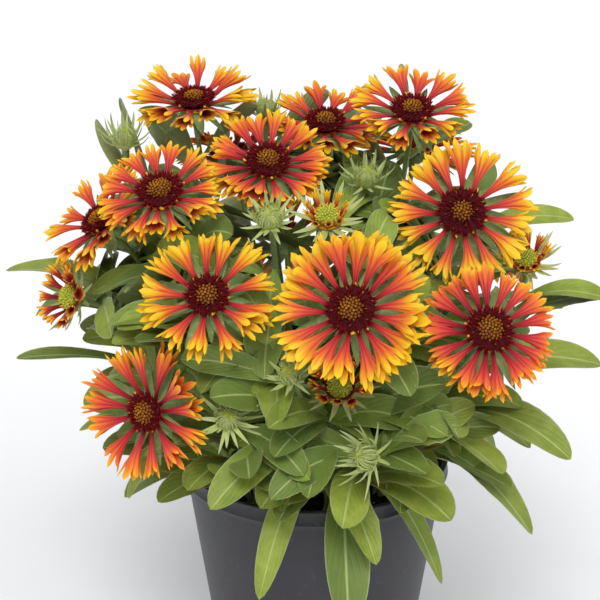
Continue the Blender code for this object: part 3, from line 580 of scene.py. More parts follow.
def scattered(tree, sizes):
    """Points over the mesh that comes in, as close as its downy attribute says."""
    downy = add_node(tree, "GeometryNodeInputNamedAttribute", {"Name": "downy"}, data_type="FLOAT")
    return add_node(tree, "GeometryNodeDistributePointsOnFaces", {
        "Mesh": sizes["Geometry"], "Density": times(tree, downy.outputs[0], sizes["Density"]),
        "Seed": sizes["Seed"]}, distribute_method="RANDOM").outputs


def stored(tree, instances, name, value):
    """The instances with a named number on each."""
    return add_node(tree, "GeometryNodeStoreNamedAttribute", {0: instances, "Name": name, 3: value},
                    domain="INSTANCE", data_type="FLOAT").outputs[0]


def floret_tree():
    """Florets in the spiral order of a seed head, on a dome: the mesh that comes in is one floret."""
    tree, sizes = new_tree("florets in a spiral", [
        ("Count", "Int"), ("Inner radius", "Float"), ("Outer radius", "Float"), ("Rim height", "Float"),
        ("Middle height", "Float"), ("Lean", "Float"), ("Size", "Float"), ("Unrest", "Float"),
        ("Seed", "Int"), ("Finish", "Material"),
    ])
    index = add_node(tree, "GeometryNodeInputIndex").outputs[0]
    share = calc(tree, "DIVIDE", plus(tree, index, 0.5), sizes["Count"])
    inner = calc(tree, "POWER", sizes["Inner radius"], 2.0)
    outer = calc(tree, "POWER", sizes["Outer radius"], 2.0)
    span = minus(tree, outer, inner)
    radius = calc(tree, "SQRT", plus(tree, inner, times(tree, share, span)))
    swing = times(tree, by_chance(tree, -0.12, 0.12, 5), sizes["Unrest"])
    angle = plus(tree, times(tree, index, GOLDEN_ANGLE), swing)
    cosine = calc(tree, "COSINE", angle)
    sine = calc(tree, "SINE", angle)
    rim_share = calc(tree, "DIVIDE", radius, sizes["Outer radius"])
    fall = calc(tree, "POWER", rim_share, 2.0)
    drop = minus(tree, sizes["Middle height"], sizes["Rim height"])
    height = minus(tree, sizes["Middle height"], times(tree, drop, fall))
    place = add_node(tree, "ShaderNodeCombineXYZ", {
        0: times(tree, radius, cosine), 1: times(tree, radius, sine), 2: height})
    points = add_node(tree, "GeometryNodePoints", {"Count": sizes["Count"], "Position": place.outputs[0]})
    tilt = times(tree, by_chance(tree, -0.2, 0.2, 6), sizes["Unrest"])
    tilt = plus(tree, times(tree, sizes["Lean"], rim_share), tilt)
    out = calc(tree, "SINE", tilt)
    way = add_node(tree, "ShaderNodeCombineXYZ", {
        0: times(tree, out, cosine), 1: times(tree, out, sine),
        2: calc(tree, "COSINE", tilt)})
    aimed = add_node(tree, "FunctionNodeAlignRotationToVector", {"Vector": way.outputs[0]}, axis="Z")
    spin = add_node(tree, "FunctionNodeAxisAngleToRotation", {
        "Axis": (0, 0, 1), "Angle": by_chance(tree, 0.0, math.tau, 7)})
    turned = add_node(tree, "FunctionNodeRotateRotation", {
        0: aimed.outputs[0], 1: spin.outputs[0]}, rotation_space="LOCAL")
    change = times(tree, by_chance(tree, -0.25, 0.2, sizes["Seed"]), sizes["Unrest"])
    size = times(tree, sizes["Size"], plus(tree, change, 1.0))
    placed = add_node(tree, "GeometryNodeInstanceOnPoints", {
        "Points": points.outputs[0], "Instance": sizes["Geometry"], "Rotation": turned.outputs[0],
        "Scale": size})
    ripe = stored(tree, placed.outputs[0], "ripeness", share)
    lucky = stored(tree, ripe, "luck", by_chance(tree, 0.0, 1.0, 9))
    end_tree(tree, lucky, sizes["Finish"])
    return tree


def hair_tree():
    """Short hairs over the mesh that comes in, as close as its downy attribute says."""
    tree, sizes = new_tree("downy hairs", [
        ("Density", "Float"), ("Length", "Float"), ("Thickness", "Float"), ("Tangle", "Float"),
        ("Seed", "Int"), ("Finish", "Material"),
    ])
    spread = scattered(tree, sizes)
    tangle = scaled(tree, vector_by_chance(tree, (-1.0, -1.0, -1.0), (1.0, 1.0, 1.0), 3), sizes["Tangle"])
    way = add_node(tree, "ShaderNodeVectorMath", {0: spread["Normal"], 1: tangle}, operation="ADD")
    aimed = add_node(tree, "FunctionNodeAlignRotationToVector", {"Vector": way.outputs[0]}, axis="Z")
    hair = add_node(tree, "GeometryNodeMeshCone", {
        "Vertices": 3, "Radius Top": 0.0, "Radius Bottom": sizes["Thickness"], "Depth": sizes["Length"]})
    placed = add_node(tree, "GeometryNodeInstanceOnPoints", {
        "Points": spread["Points"], "Instance": hair.outputs["Mesh"],
        "Rotation": aimed.outputs[0], "Scale": by_chance(tree, 0.55, 1.3, 4)})
    end_tree(tree, placed.outputs[0], sizes["Finish"])
    return tree


def crumb_tree():
    """Crumbs of peat and bark over the mesh that comes in, where its downy attribute says."""
    tree, sizes = new_tree("soil crumbs", [
        ("Density", "Float"), ("Size", "Float"), ("Seed", "Int"), ("Finish", "Material"),
    ])
    crumb = add_node(tree, "GeometryNodeMeshIcoSphere", {"Radius": 1.0, "Subdivisions": 1})
    turn = vector_by_chance(tree, (0.0, 0.0, 0.0), (6.0, 6.0, 6.0), 1)
    stretch = vector_by_chance(tree, (0.3, 0.2, 0.2), (1.8, 1.0, 0.8), 2)
    placed = add_node(tree, "GeometryNodeInstanceOnPoints", {
        "Points": scattered(tree, sizes)["Points"], "Instance": crumb.outputs["Mesh"],
        "Rotation": turn, "Scale": scaled(tree, stretch, sizes["Size"])})
    lucky = stored(tree, placed.outputs[0], "luck", by_chance(tree, 0.0, 1.0, 9))
    end_tree(tree, lucky, sizes["Finish"])
    return tree


def repeated(name, base, tree, sizes):
    """What a tree makes from an object, as a plain mesh object; the base keeps no modifier."""
    work = base.modifiers.new("repeat", "NODES")
    work.node_group = tree
    for item in tree.interface.items_tree:
        if item.in_out == "INPUT" and item.name in sizes:
            work[item.identifier] = sizes[item.name]
    graph = bpy.context.evaluated_depsgraph_get()
    mesh = bpy.data.meshes.new_from_object(base.evaluated_get(graph))
    base.modifiers.remove(work)
    mesh.name = name
    obj = bpy.data.objects.new(name, mesh)
    bpy.context.scene.collection.objects.link(obj)
    return obj


# Finishes

def new_finish(name, **sockets):
    """A Principled material with constants on its own sockets; a socket's name has _ for a space."""
    made = bpy.data.materials.new(name)
    made.use_nodes = True
    tree = made.node_tree
    shader = tree.nodes["Principled BSDF"]
    for socket, value in sockets.items():
        shader.inputs[socket.replace("_", " ")].default_value = value
    return made, tree, shader


def guide(tree):
    """The growth guide: share along, share across, under side and chance."""
    read = add_node(tree, "ShaderNodeAttribute", attribute_name="growth")
    parts = add_node(tree, "ShaderNodeSeparateColor", {0: read.outputs["Color"]})
    return parts.outputs[0], parts.outputs[1], parts.outputs[2], read.outputs["Alpha"]


def named_number(tree, name):
    return add_node(tree, "ShaderNodeAttribute", attribute_name=name).outputs["Fac"]


def mixed(tree, share, a, b, blend="MIX"):
    """Two colours mixed; each colour is three numbers or an output."""
    node = add_node(tree, "ShaderNodeMix", data_type="RGBA", blend_type=blend)
    for socket, value in ((0, share), (6, a), (7, b)):
        if isinstance(value, bpy.types.NodeSocket):
            tree.links.new(value, node.inputs[socket])
        elif socket:
            node.inputs[socket].default_value = (*value, 1)
        else:
            node.inputs[socket].default_value = value
    return node.outputs[2]


def ramp(tree, share, stops):
    """Colours along a share: each stop is a place and a colour."""
    node = add_node(tree, "ShaderNodeValToRGB", {0: share})
    marks = node.color_ramp.elements
    while len(marks) < len(stops):
        marks.new(0.5)
    for mark, (place, colour) in zip(marks, stops):
        mark.position = place
        mark.color = (*colour, 1)
    return node.outputs[0]


def graded(tree, value, low, high):
    """0 below low, 1 above high."""
    return add_node(tree, "ShaderNodeMapRange", {0: value, 1: low, 2: high}).outputs[0]


def noise(tree, scale, detail=4.0, vector=None, roughness=0.55):
    inputs = {"Scale": scale, "Detail": detail, "Roughness": roughness}
    if vector is None:
        vector = add_node(tree, "ShaderNodeTexCoord").outputs["Object"]
    inputs["Vector"] = vector
    return add_node(tree, "ShaderNodeTexNoise", inputs).outputs[0]


def streak_space(tree, share, across, chance, long_scale, cross_scale):
    """A space where a pattern runs lengthwise: stretched along, fine across, different for each petal."""
    return add_node(tree, "ShaderNodeCombineXYZ", {
        0: times(tree, share, long_scale),
        1: times(tree, across, cross_scale),
        2: times(tree, chance, 37.0)}).outputs[0]


def bumped(tree, shader, height, strength, distance):
    bump = add_node(tree, "ShaderNodeBump", {
        "Height": height, "Strength": strength, "Distance": distance})
    tree.links.new(bump.outputs[0], shader.inputs["Normal"])


def petal_finish(name, lean, stops):
    """Velvety petal: colours along its length, lengthwise veins and flutes, painted shade inside the throat,
    and darker grooves that are partly red streaks and partly painted shade.
    """
    made, tree, shader = new_finish(name, Roughness=0.48, Specular_IOR_Level=0.25, Sheen_Weight=0.05,
                                    Subsurface_Weight=0.12, Subsurface_Scale=0.002)
    share, across, side, chance = guide(tree)
    space = streak_space(tree, share, across, chance, 2.2, 34.0)
    streak = noise(tree, 1.0, 3.0, space)
    wide = noise(tree, 1.0, 2.0, streak_space(tree, share, across, chance, 1.2, 7.0))
    shift = times(tree, minus(tree, streak, 0.5), 0.5)
    shift = plus(tree, shift, times(tree, minus(tree, wide, 0.5), 0.3))
    shift = plus(tree, shift, times(tree, minus(tree, chance, 0.5), 0.16))
    ripe = calc(tree, "ADD", plus(tree, share, shift), lean, clamp=True)
    colour = ramp(tree, ripe, stops)
    # Painted shade: the inner wall turns deep red towards the bottom of the throat, where little light
    # reaches.
    throat = times(tree, side, graded(tree, share, 0.92, 0.62))
    colour = mixed(tree, times(tree, throat, 0.8), colour, (0.26, 0.006, 0.010))
    fine = noise(tree, 1.0, 2.0, streak_space(tree, share, across, chance, 1.0, 90.0))
    vein = graded(tree, fine, 0.56, 0.66)
    vein = times(tree, vein, 0.7)
    # The flute grooves darken along with the fine veins: partly the petal's own red streaks, partly painted
    # shade in the creases.
    groove = calc(tree, "POWER", named_number(tree, "downy"), 1.6)
    vein = calc(tree, "MAXIMUM", vein, groove)
    vein = times(tree, vein, graded(tree, share, 0.92, 0.6))
    colour = mixed(tree, times(tree, vein, 0.6), colour, (0.34, 0.010, 0.018))
    tree.links.new(colour, shader.inputs["Base Color"])
    bumped(tree, shader, minus(tree, streak, groove), 0.6, 0.0006)
    return made


def petal_stops():
    return [(0.0, (0.22, 0.003, 0.010)), (0.24, (0.46, 0.012, 0.026)), (0.48, (0.70, 0.060, 0.034)),
            (0.68, (0.84, 0.165, 0.020)), (0.82, (0.90, 0.36, 0.010)), (0.95, (0.94, 0.56, 0.014))]


def young_petal_stops():
    return [(0.0, (0.12, 0.003, 0.008)), (0.40, (0.22, 0.006, 0.010)), (0.66, (0.45, 0.03, 0.012)),
            (0.80, (0.85, 0.30, 0.015)), (0.95, (0.93, 0.50, 0.03))]


def leaf_finish():
    """Leaf: mid green with a pale midrib and side veins, greyer under, with a soft bloom of down."""
    made, tree, shader = new_finish("leaf green", Roughness=0.46, Specular_IOR_Level=0.32, Sheen_Weight=0.06,
                                    Sheen_Roughness=0.4, Subsurface_Weight=0.1, Subsurface_Scale=0.002)
    share, across, side, chance = guide(tree)
    off = calc(tree, "ABSOLUTE", minus(tree, across, 0.5))
    mottle = noise(tree, 110.0, 5.0)
    fresh = mixed(tree, graded(tree, mottle, 0.35, 0.68), (0.215, 0.290, 0.030), (0.320, 0.400, 0.066))
    fresh = mixed(tree, times(tree, graded(tree, chance, 0.2, 1.0), 0.8), fresh, (0.090, 0.160, 0.036))
    fresh = mixed(tree, graded(tree, share, 0.5, 0.0), fresh, (0.30, 0.42, 0.06))
    # Side veins sweep forward from the midrib
    sweep = minus(tree, times(tree, share, 9.0), times(tree, off, 7.0))
    sweep = plus(tree, sweep, times(tree, noise(tree, 60.0, 2.0), 0.35))
    teeth = calc(tree, "PINGPONG", sweep, 0.5)
    vein = graded(tree, teeth, 0.06, 0.0)
    rib = graded(tree, off, 0.045, 0.012)
    line = calc(tree, "MAXIMUM", times(tree, vein, 0.14), rib)
    top = mixed(tree, times(tree, line, 0.6), fresh, (0.52, 0.60, 0.22))
    under = mixed(tree, times(tree, line, 0.6), (0.29, 0.36, 0.15), (0.48, 0.54, 0.28))
    edge = times(tree, graded(tree, off, 0.46, 0.5), 0.5)
    colour = mixed(tree, graded(tree, side, 0.4, 0.6), top, under)
    colour = mixed(tree, edge, colour, (0.40, 0.46, 0.26))
    tree.links.new(colour, shader.inputs["Base Color"])
    puff = minus(tree, graded(tree, teeth, 0.0, 0.3), times(tree, rib, 1.4))
    puff = plus(tree, times(tree, puff, 0.4), times(tree, mottle, 0.9))
    puff = plus(tree, puff, times(tree, noise(tree, 1100.0, 3.0), 0.3))
    bumped(tree, shader, puff, 0.5, 0.0008)
    return made


def stem_finish():
    """Stem: ribbed pale green, a little reddish low down."""
    made, tree, shader = new_finish("stem green", Roughness=0.6, Sheen_Weight=0.3, Specular_IOR_Level=0.3)
    share, across, _, chance = guide(tree)
    rib = noise(tree, 1.0, 2.0, streak_space(tree, share, across, chance, 2.0, 24.0))
    colour = mixed(tree, graded(tree, rib, 0.35, 0.7), (0.15, 0.22, 0.04), (0.30, 0.40, 0.13))
    colour = mixed(tree, times(tree, graded(tree, share, 0.4, 0.0), 0.4), colour, (0.16, 0.10, 0.04))
    tree.links.new(colour, shader.inputs["Base Color"])
    bumped(tree, shader, rib, 0.5, 0.0005)
    return made


def bract_finish():
    """Bract: grey-green, paler towards the base, with a rib and a coat of down."""
    made, tree, shader = new_finish("bract green", Roughness=0.65, Sheen_Weight=0.12, Specular_IOR_Level=0.25)
    share, across, _, chance = guide(tree)
    rib = noise(tree, 1.0, 3.0, streak_space(tree, share, across, chance, 3.0, 14.0))
    colour = ramp(tree, plus(tree, share, times(tree, rib, 0.3)), [
        (0.1, (0.34, 0.42, 0.14)), (0.5, (0.23, 0.31, 0.10)), (1.0, (0.19, 0.27, 0.08))])
    colour = mixed(tree, graded(tree, noise(tree, 420.0, 3.0), 0.52, 0.75), colour, (0.40, 0.46, 0.22))
    colour = mixed(tree, times(tree, chance, 0.3), colour, (0.20, 0.30, 0.08))
    tree.links.new(colour, shader.inputs["Base Color"])
    bumped(tree, shader, rib, 0.6, 0.0005)
    return made


def bud_bract_finish():
    """A bud's young bracts: pale yellow-green, paler towards the base, some paler by chance."""
    made, tree, shader = new_finish("young bract", Roughness=0.6, Sheen_Weight=0.1, Specular_IOR_Level=0.25)
    share, across, _, chance = guide(tree)
    rib = noise(tree, 1.0, 3.0, streak_space(tree, share, across, chance, 3.0, 12.0))
    colour = ramp(tree, plus(tree, share, times(tree, rib, 0.3)), [
        (0.1, (0.60, 0.68, 0.16)), (0.5, (0.46, 0.55, 0.16)), (1.0, (0.42, 0.50, 0.20))])
    colour = mixed(tree, times(tree, chance, 0.5), colour, (0.62, 0.66, 0.36))
    tree.links.new(colour, shader.inputs["Base Color"])
    bumped(tree, shader, rib, 0.5, 0.0004)
    return made


def hair_finish():
    made, tree, shader = new_finish("silvery hair", Roughness=0.45, Specular_IOR_Level=0.3, Sheen_Weight=0.1)
    colour = mixed(tree, noise(tree, 300.0, 2.0), (0.50, 0.58, 0.26), (0.74, 0.78, 0.50))
    tree.links.new(colour, shader.inputs["Base Color"])
    return made


def floret_finish(name, low, high, dark, grain, pit=0.0):
    """Floret: its colour runs from the middle of the disc to its rim, with painted shade darkening its foot
    among the other florets and, where pit is more than 0, painted shade in a dark opening on top."""
    made, tree, shader = new_finish(name, Roughness=0.6, Specular_IOR_Level=0.1)
    share = guide(tree)[0]
    ripe = named_number(tree, "ripeness")
    luck = named_number(tree, "luck")
    colour = mixed(tree, ripe, low, high)
    colour = mixed(tree, times(tree, luck, 0.5), colour, dark)
    # Painted shade: each floret darkens towards its foot, down among its neighbours.
    colour = mixed(tree, graded(tree, share, 0.7, 0.0), colour, dark)
    # Painted shade: a dark spot in the floret's opening on top, as strong as pit says, standing for shaded
    # pits.
    colour = mixed(tree, times(tree, graded(tree, share, 0.78, 0.92), pit), colour, dark)
    speck = noise(tree, grain, 3.0)
    colour = mixed(tree, times(tree, graded(tree, speck, 0.45, 0.75), 0.35), colour, high)
    tree.links.new(colour, shader.inputs["Base Color"])
    bumped(tree, shader, speck, 0.4, 0.0003)
    return made


def disc_bed_finish(name, low, high):
    """The bed under the florets."""
    made, tree, shader = new_finish(name, Roughness=0.8, Specular_IOR_Level=0.2)
    grain = noise(tree, 900.0, 3.0)
    tree.links.new(mixed(tree, grain, low, high), shader.inputs["Base Color"])
    bumped(tree, shader, grain, 0.8, 0.0004)
    return made


def pot_finish():
    """Matt dark grey moulded plastic: fine grain, cloudy sheen, dust and faint scuffs."""
    made, tree, shader = new_finish("dark grey plastic", Specular_IOR_Level=0.45)
    place = add_node(tree, "ShaderNodeTexCoord").outputs["Object"]
    cloud = noise(tree, 24.0, 5.0)
    grain = noise(tree, 1500.0, 2.0)
    base = mixed(tree, graded(tree, cloud, 0.3, 0.7), (0.026, 0.026, 0.032), (0.038, 0.038, 0.046))
    drag = add_node(tree, "ShaderNodeMapping", {"Vector": place, "Scale": (60.0, 60.0, 520.0)})
    scuff = graded(tree, noise(tree, 1.0, 3.0, drag.outputs[0]), 0.66, 0.74)
    scuff = times(tree, scuff, graded(tree, noise(tree, 16.0, 2.0), 0.5, 0.62))
    colour = mixed(tree, times(tree, scuff, 0.5), base, (0.13, 0.13, 0.14))
    dust = times(tree, graded(tree, noise(tree, 340.0, 4.0), 0.60, 0.72), 0.16)
    colour = mixed(tree, dust, colour, (0.16, 0.15, 0.14))
    tree.links.new(colour, shader.inputs["Base Color"])
    rough = plus(tree, times(tree, cloud, 0.2), 0.38)
    tree.links.new(rough, shader.inputs["Roughness"])
    bumped(tree, shader, grain, 0.25, 0.0002)
    return made


def soil_finish(name):
    """Dark peat with paler bark and a few pale specks."""
    made, tree, shader = new_finish(name, Roughness=0.95, Specular_IOR_Level=0.2)
    lump = noise(tree, 260.0, 6.0, roughness=0.7)
    colour = ramp(tree, lump, [(0.3, (0.008, 0.005, 0.004)), (0.5, (0.022, 0.014, 0.009)),
                               (0.7, (0.055, 0.034, 0.020))])
    luck = named_number(tree, "luck")
    colour = mixed(tree, times(tree, graded(tree, luck, 0.6, 0.9), 0.8), colour, (0.10, 0.058, 0.032))
    colour = mixed(tree, graded(tree, luck, 0.955, 0.96), colour, (0.55, 0.53, 0.48))
    tree.links.new(colour, shader.inputs["Base Color"])
    bumped(tree, shader, lump, 1.0, 0.0015)
    return made


def floor_finish():
    made, tree, shader = new_finish("pale studio floor", Roughness=0.9, Specular_IOR_Level=0.1)
    shade = noise(tree, 0.8, 2.0)
    tree.links.new(mixed(tree, shade, (0.93, 0.93, 0.94), (0.95, 0.95, 0.955)), shader.inputs["Base Color"])
    return made


# Stems, leaves and bracts

def grow_tube(plant, places, radii, sides, finish, chance, downy, share_from=0.0, share_to=1.0):
    """A closed tube through the places."""
    rings = []
    side = None
    count = len(places)
    for i, place in enumerate(places):
        forward = (places[min(i + 1, count - 1)] - places[max(i - 1, 0)]).normalized()
        if side is None:
            side = forward.cross(Vector((0.3, 1.0, 0.2))).normalized()
        side = (side - forward * side.dot(forward)).normalized()
        up = forward.cross(side)
        share = share_from + (share_to - share_from) * i / (count - 1)
        ring = []
        for k in range(sides):
            turn = math.tau * k / sides
            spot = place + (side * math.cos(turn) + up * math.sin(turn)) * radii[i]
            ring.append(plant.point(spot, share, k / sides, 0.0, chance, downy))
        rings.append(ring)
    for low, high in zip(rings, rings[1:]):
        plant.bridge(low, high, finish)
    plant.close(rings[0], plant.point(places[0], share_from, 0.5, 0.0, chance, 0.0), finish)
    plant.close(rings[-1], plant.point(places[-1], share_to, 0.5, 0.0, chance, 0.0), finish)


def grow_stem(plant, guides, rng):
    """A flower stem that thickens under its head."""
    chance = rng.random()
    shares = [i / STEM_ROWS for i in range(STEM_ROWS + 1)]
    places = [bezier(guides, t) for t in shares]
    radii = []
    for t in shares:
        radii.append(STEM_R_LOW + (STEM_R_TOP - STEM_R_LOW) * t + max(0.0, t - 0.93) * 14 * MM)
    grow_tube(plant, places, radii, 8, STEM, chance, 0.7)


def grow_leaf(plant, root, tip, width, arch, rng, toothed):
    """A leaf blade with two skins: folded along its midrib, wavy, and joined along its edges."""
    chance = rng.random()
    twist = rng.uniform(-0.35, 0.35)
    wave = rng.uniform(0.02, 0.08)
    beat = rng.uniform(7.0, 13.0)
    phase = rng.random() * math.tau
    dip = rng.uniform(-0.05, 0.05)
    length = (tip - root).length
    upper = []
    lower = []
    for i in range(LEAF_ROWS):
        t = 1 - (1 - i / LEAF_ROWS) ** 1.5
        place, forward, side = leaf_frame(root, tip, arch, t)
        over = side.cross(forward)
        roll = twist * t * t
        flat_side = side
        side = flat_side * math.cos(roll) + over * math.sin(roll)
        over = over * math.cos(roll) - flat_side * math.sin(roll)
        half = leaf_half_width(t) * width
        if toothed and 0.4 < t < 0.9 and i % 3 == 1:
            half *= 1.09
        place = place + over * length * dip * math.sin(math.pi * t)
        top_row = []
        low_row = []
        for j in range(LEAF_COLUMNS + 1):
            u = 2 * j / LEAF_COLUMNS - 1
            lift = LEAF_FOLD * u * u + wave * math.sin(beat * t + phase + 1.3 * u) * abs(u)
            spot = place + side * half * u + over * half * lift
            crease = 0.3 * MM * max(0.0, 1 - abs(u) * 3)
            edge = abs(u) > 0.99
            hairy = 0.3 if edge else 0.0
            under = 0.5 if edge else 0.0
            index = plant.point(spot - over * crease, t, (u + 1) / 2, under, chance, hairy)
            top_row.append(index)
            if edge:
                low_row.append(index)
                continue
            rib = (1.0 * (1 - t) + 0.15) * MM * max(0.0, 1 - abs(u) * 4)
            spot = spot - over * (LEAF_SHEET * (1 - abs(u) * 0.5) + rib)
            low_row.append(plant.point(spot, t, (u + 1) / 2, 1.0, chance, 0.03))
        upper.append(top_row)
        lower.append(low_row)
    point = plant.point(leaf_frame(root, tip, arch, 1.0)[0], 1.0, 0.5, 0.5, chance, 1.0)
    for rows in (upper, lower):
        for near, far in zip(rows, rows[1:]):
            for j in range(LEAF_COLUMNS):
                plant.face((near[j], near[j + 1], far[j + 1], far[j]), LEAF)
        for j in range(LEAF_COLUMNS):
            plant.face((rows[-1][j], rows[-1][j + 1], point), LEAF)
    top_row, low_row = upper[0], lower[0]
    for j in range(LEAF_COLUMNS):
        corners = [top_row[j], low_row[j], low_row[j + 1], top_row[j + 1]]
        plant.face(tuple(dict.fromkeys(corners)), LEAF)


def grow_bract(plant, root, way, side, over, length, width, curl, chance, finish, downy=0.7):
    """A narrow pointed bract with a lens section, curling towards over."""
    place = root.copy()
    rings = []
    step = length / BRACT_ROWS
    for i in range(BRACT_ROWS):
        t = i / BRACT_ROWS
        bend = curl * t
        forward = way * math.cos(bend) + over * math.sin(bend)
        normal = over * math.cos(bend) - way * math.sin(bend)
        half = 0.5 * width * (1 - t) ** 0.75 * (1 + 0.5 * t)
        thick = 0.35 * MM * (1 - 0.5 * t)
        rings.append([
            plant.point(place - side * half + normal * half * 0.3, t, 0.0, 0.5, chance, downy),
            plant.point(place + normal * thick * 0.4, t, 0.5, 0.0, chance, downy * 0.5),
            plant.point(place + side * half + normal * half * 0.3, t, 1.0, 0.5, chance, downy),
            plant.point(place - normal * thick, t, 0.5, 1.0, chance, downy * 0.7),
        ])
        place = place + forward * step
    tip = plant.point(place, 1.0, 0.5, 0.5, chance, downy)
    for low, high in zip(rings, rings[1:]):
        plant.bridge(low, high, finish)
    plant.close(rings[-1], tip, finish)
    plant.face(tuple(rings[0]), finish)


def grow_whorl(plant, head, count, radius, height, length, width, angle, curl, rng, offset, spread,
               plan=None):
    """A ring of bracts in the head's own frame; plan gives the turn, angle and length of each."""
    for i in range(count):
        if plan:
            turn, rise, reach = plan[i]
        else:
            turn = math.tau * (i + offset) / count + rng.uniform(-0.12, 0.12)
            rise = math.radians(angle + rng.uniform(-spread, spread))
            reach = length * rng.uniform(0.8, 1.12)
        out = polar(1.0, turn, 0.0)
        side = Vector((-out.y, out.x, 0))
        way = out * math.cos(rise) + Vector((0, 0, math.sin(rise)))
        over = Vector((0, 0, math.cos(rise))) - out * math.sin(rise)
        root = polar(radius - 0.6 * MM, turn, height)
        bend = curl * rng.uniform(0.4, 1.5)
        if head.kind == "open" or head.kind == "plain":
            grow_bract(plant, root, way, side, over, reach, width, bend, rng.random(), BRACT)
        else:
            grow_bract(plant, root, way, side, over, reach, width, bend, rng.random(), BUD_BRACT, 0.3)


def solid_bract_plan(head):
    """Turn, rise and length of each bract in the solids."""
    count, length, angle = bract_plan(head)
    rng = random.Random("bracts " + head.name)
    plan = []
    for i in range(count):
        turn = math.tau * (i + 0.5) / count + rng.uniform(-0.08, 0.08)
        rise = math.radians(angle + rng.uniform(-4, 4))
        plan.append((turn, rise, length * rng.uniform(0.88, 1.05)))
    return plan


def lathe(plant, profile, steps, finish, chance=0.0, downy=0.0):
    """A profile of (radius, height) turned about Z; radius 0 at an end closes it with a point."""
    rings = []
    for k, (radius, height) in enumerate(profile):
        share = k / (len(profile) - 1)
        if radius <= 0:
            rings.append(plant.point(Vector((0, 0, height)), share, 0.5, 0.0, chance, downy))
            continue
        rings.append([plant.point(polar(radius, math.tau * i / steps, height), share, i / steps, 0.0, chance,
                                  downy) for i in range(steps)])
    for low, high in zip(rings, rings[1:]):
        if isinstance(low, int):
            plant.close(high, low, finish)
        elif isinstance(high, int):
            plant.close(low, high, finish)
        else:
            plant.bridge(low, high, finish)
    if not isinstance(rings[0], int) and not isinstance(rings[-1], int):
        plant.bridge(rings[-1], rings[0], finish)


def grow_calyx(plant, head):
    """The green cup under a head and its whorls of bracts."""
    rng = random.Random("calyx " + head.name)
    first = len(plant.points)
    radius = calyx_radius(head)
    foot = (0.8 * MM, -CALYX_DEPTH)
    waist = (radius * 0.72, -CALYX_DEPTH * 0.55)
    low = (radius, CALYX_TOP - CALYX_SIDE)
    top = (radius * 0.98, CALYX_TOP)
    profile = [(0, -CALYX_DEPTH - 0.4 * MM), foot, waist, low, top]
    if head.kind == "bud":
        profile += [(radius * 0.98, 0.8 * MM), (radius * 0.78, 2.8 * MM), (radius * 0.4, 4.0 * MM),
                    (0, 4.3 * MM)]
        lathe(plant, profile, 16, BUD_BRACT, rng.random(), 0.3)
    else:
        profile += [(0, CALYX_TOP + 0.2 * MM)]
        lathe(plant, profile, 16, BRACT, rng.random(), 0.8)
    plan = solid_bract_plan(head)
    count, length, angle = bract_plan(head)
    middle = CALYX_TOP - CALYX_SIDE / 2
    if head.kind == "bud":
        grow_whorl(plant, head, count, radius, middle, length, 2.4 * MM, angle, 0.7, rng, 0.5, 4, plan)
        for many, inset, height, reach, rise in CURLED_WHORLS:
            grow_whorl(plant, head, many, radius * inset, middle + height * MM, radius * reach, 1.0 * MM,
                       rise, 1.8, rng, height, 14)
        grow_whorl(plant, head, count + 6, radius, middle + 0.3 * MM, length * 0.66, 1.2 * MM, angle + 16,
                   1.4, rng, 0.0, 16)
        grow_whorl(plant, head, count, radius, middle - 1.2 * MM, length * 0.95, 2.0 * MM, angle - 26, 0.7,
                   rng, 0.2, 12)
    elif head.kind == "young":
        grow_whorl(plant, head, count, radius, middle, length, 3.2 * MM, angle, 0.5, rng, 0.5, 4, plan)
        grow_whorl(plant, head, 10, radius, middle - 0.8 * MM, length * 0.9, 2.4 * MM, angle - 16, 0.6, rng,
                   0.0, 8)
    else:
        grow_whorl(plant, head, count, radius, middle, length, 6.4 * MM, angle, 0.25, rng, 0.5, 4, plan)
        grow_whorl(plant, head, 9, radius, middle - 0.9 * MM, length * 0.8, 4.6 * MM, angle - 8, -0.3, rng,
                   0.0, 7)
    plant.turned(head_frame(head), first)


# Petals and florets

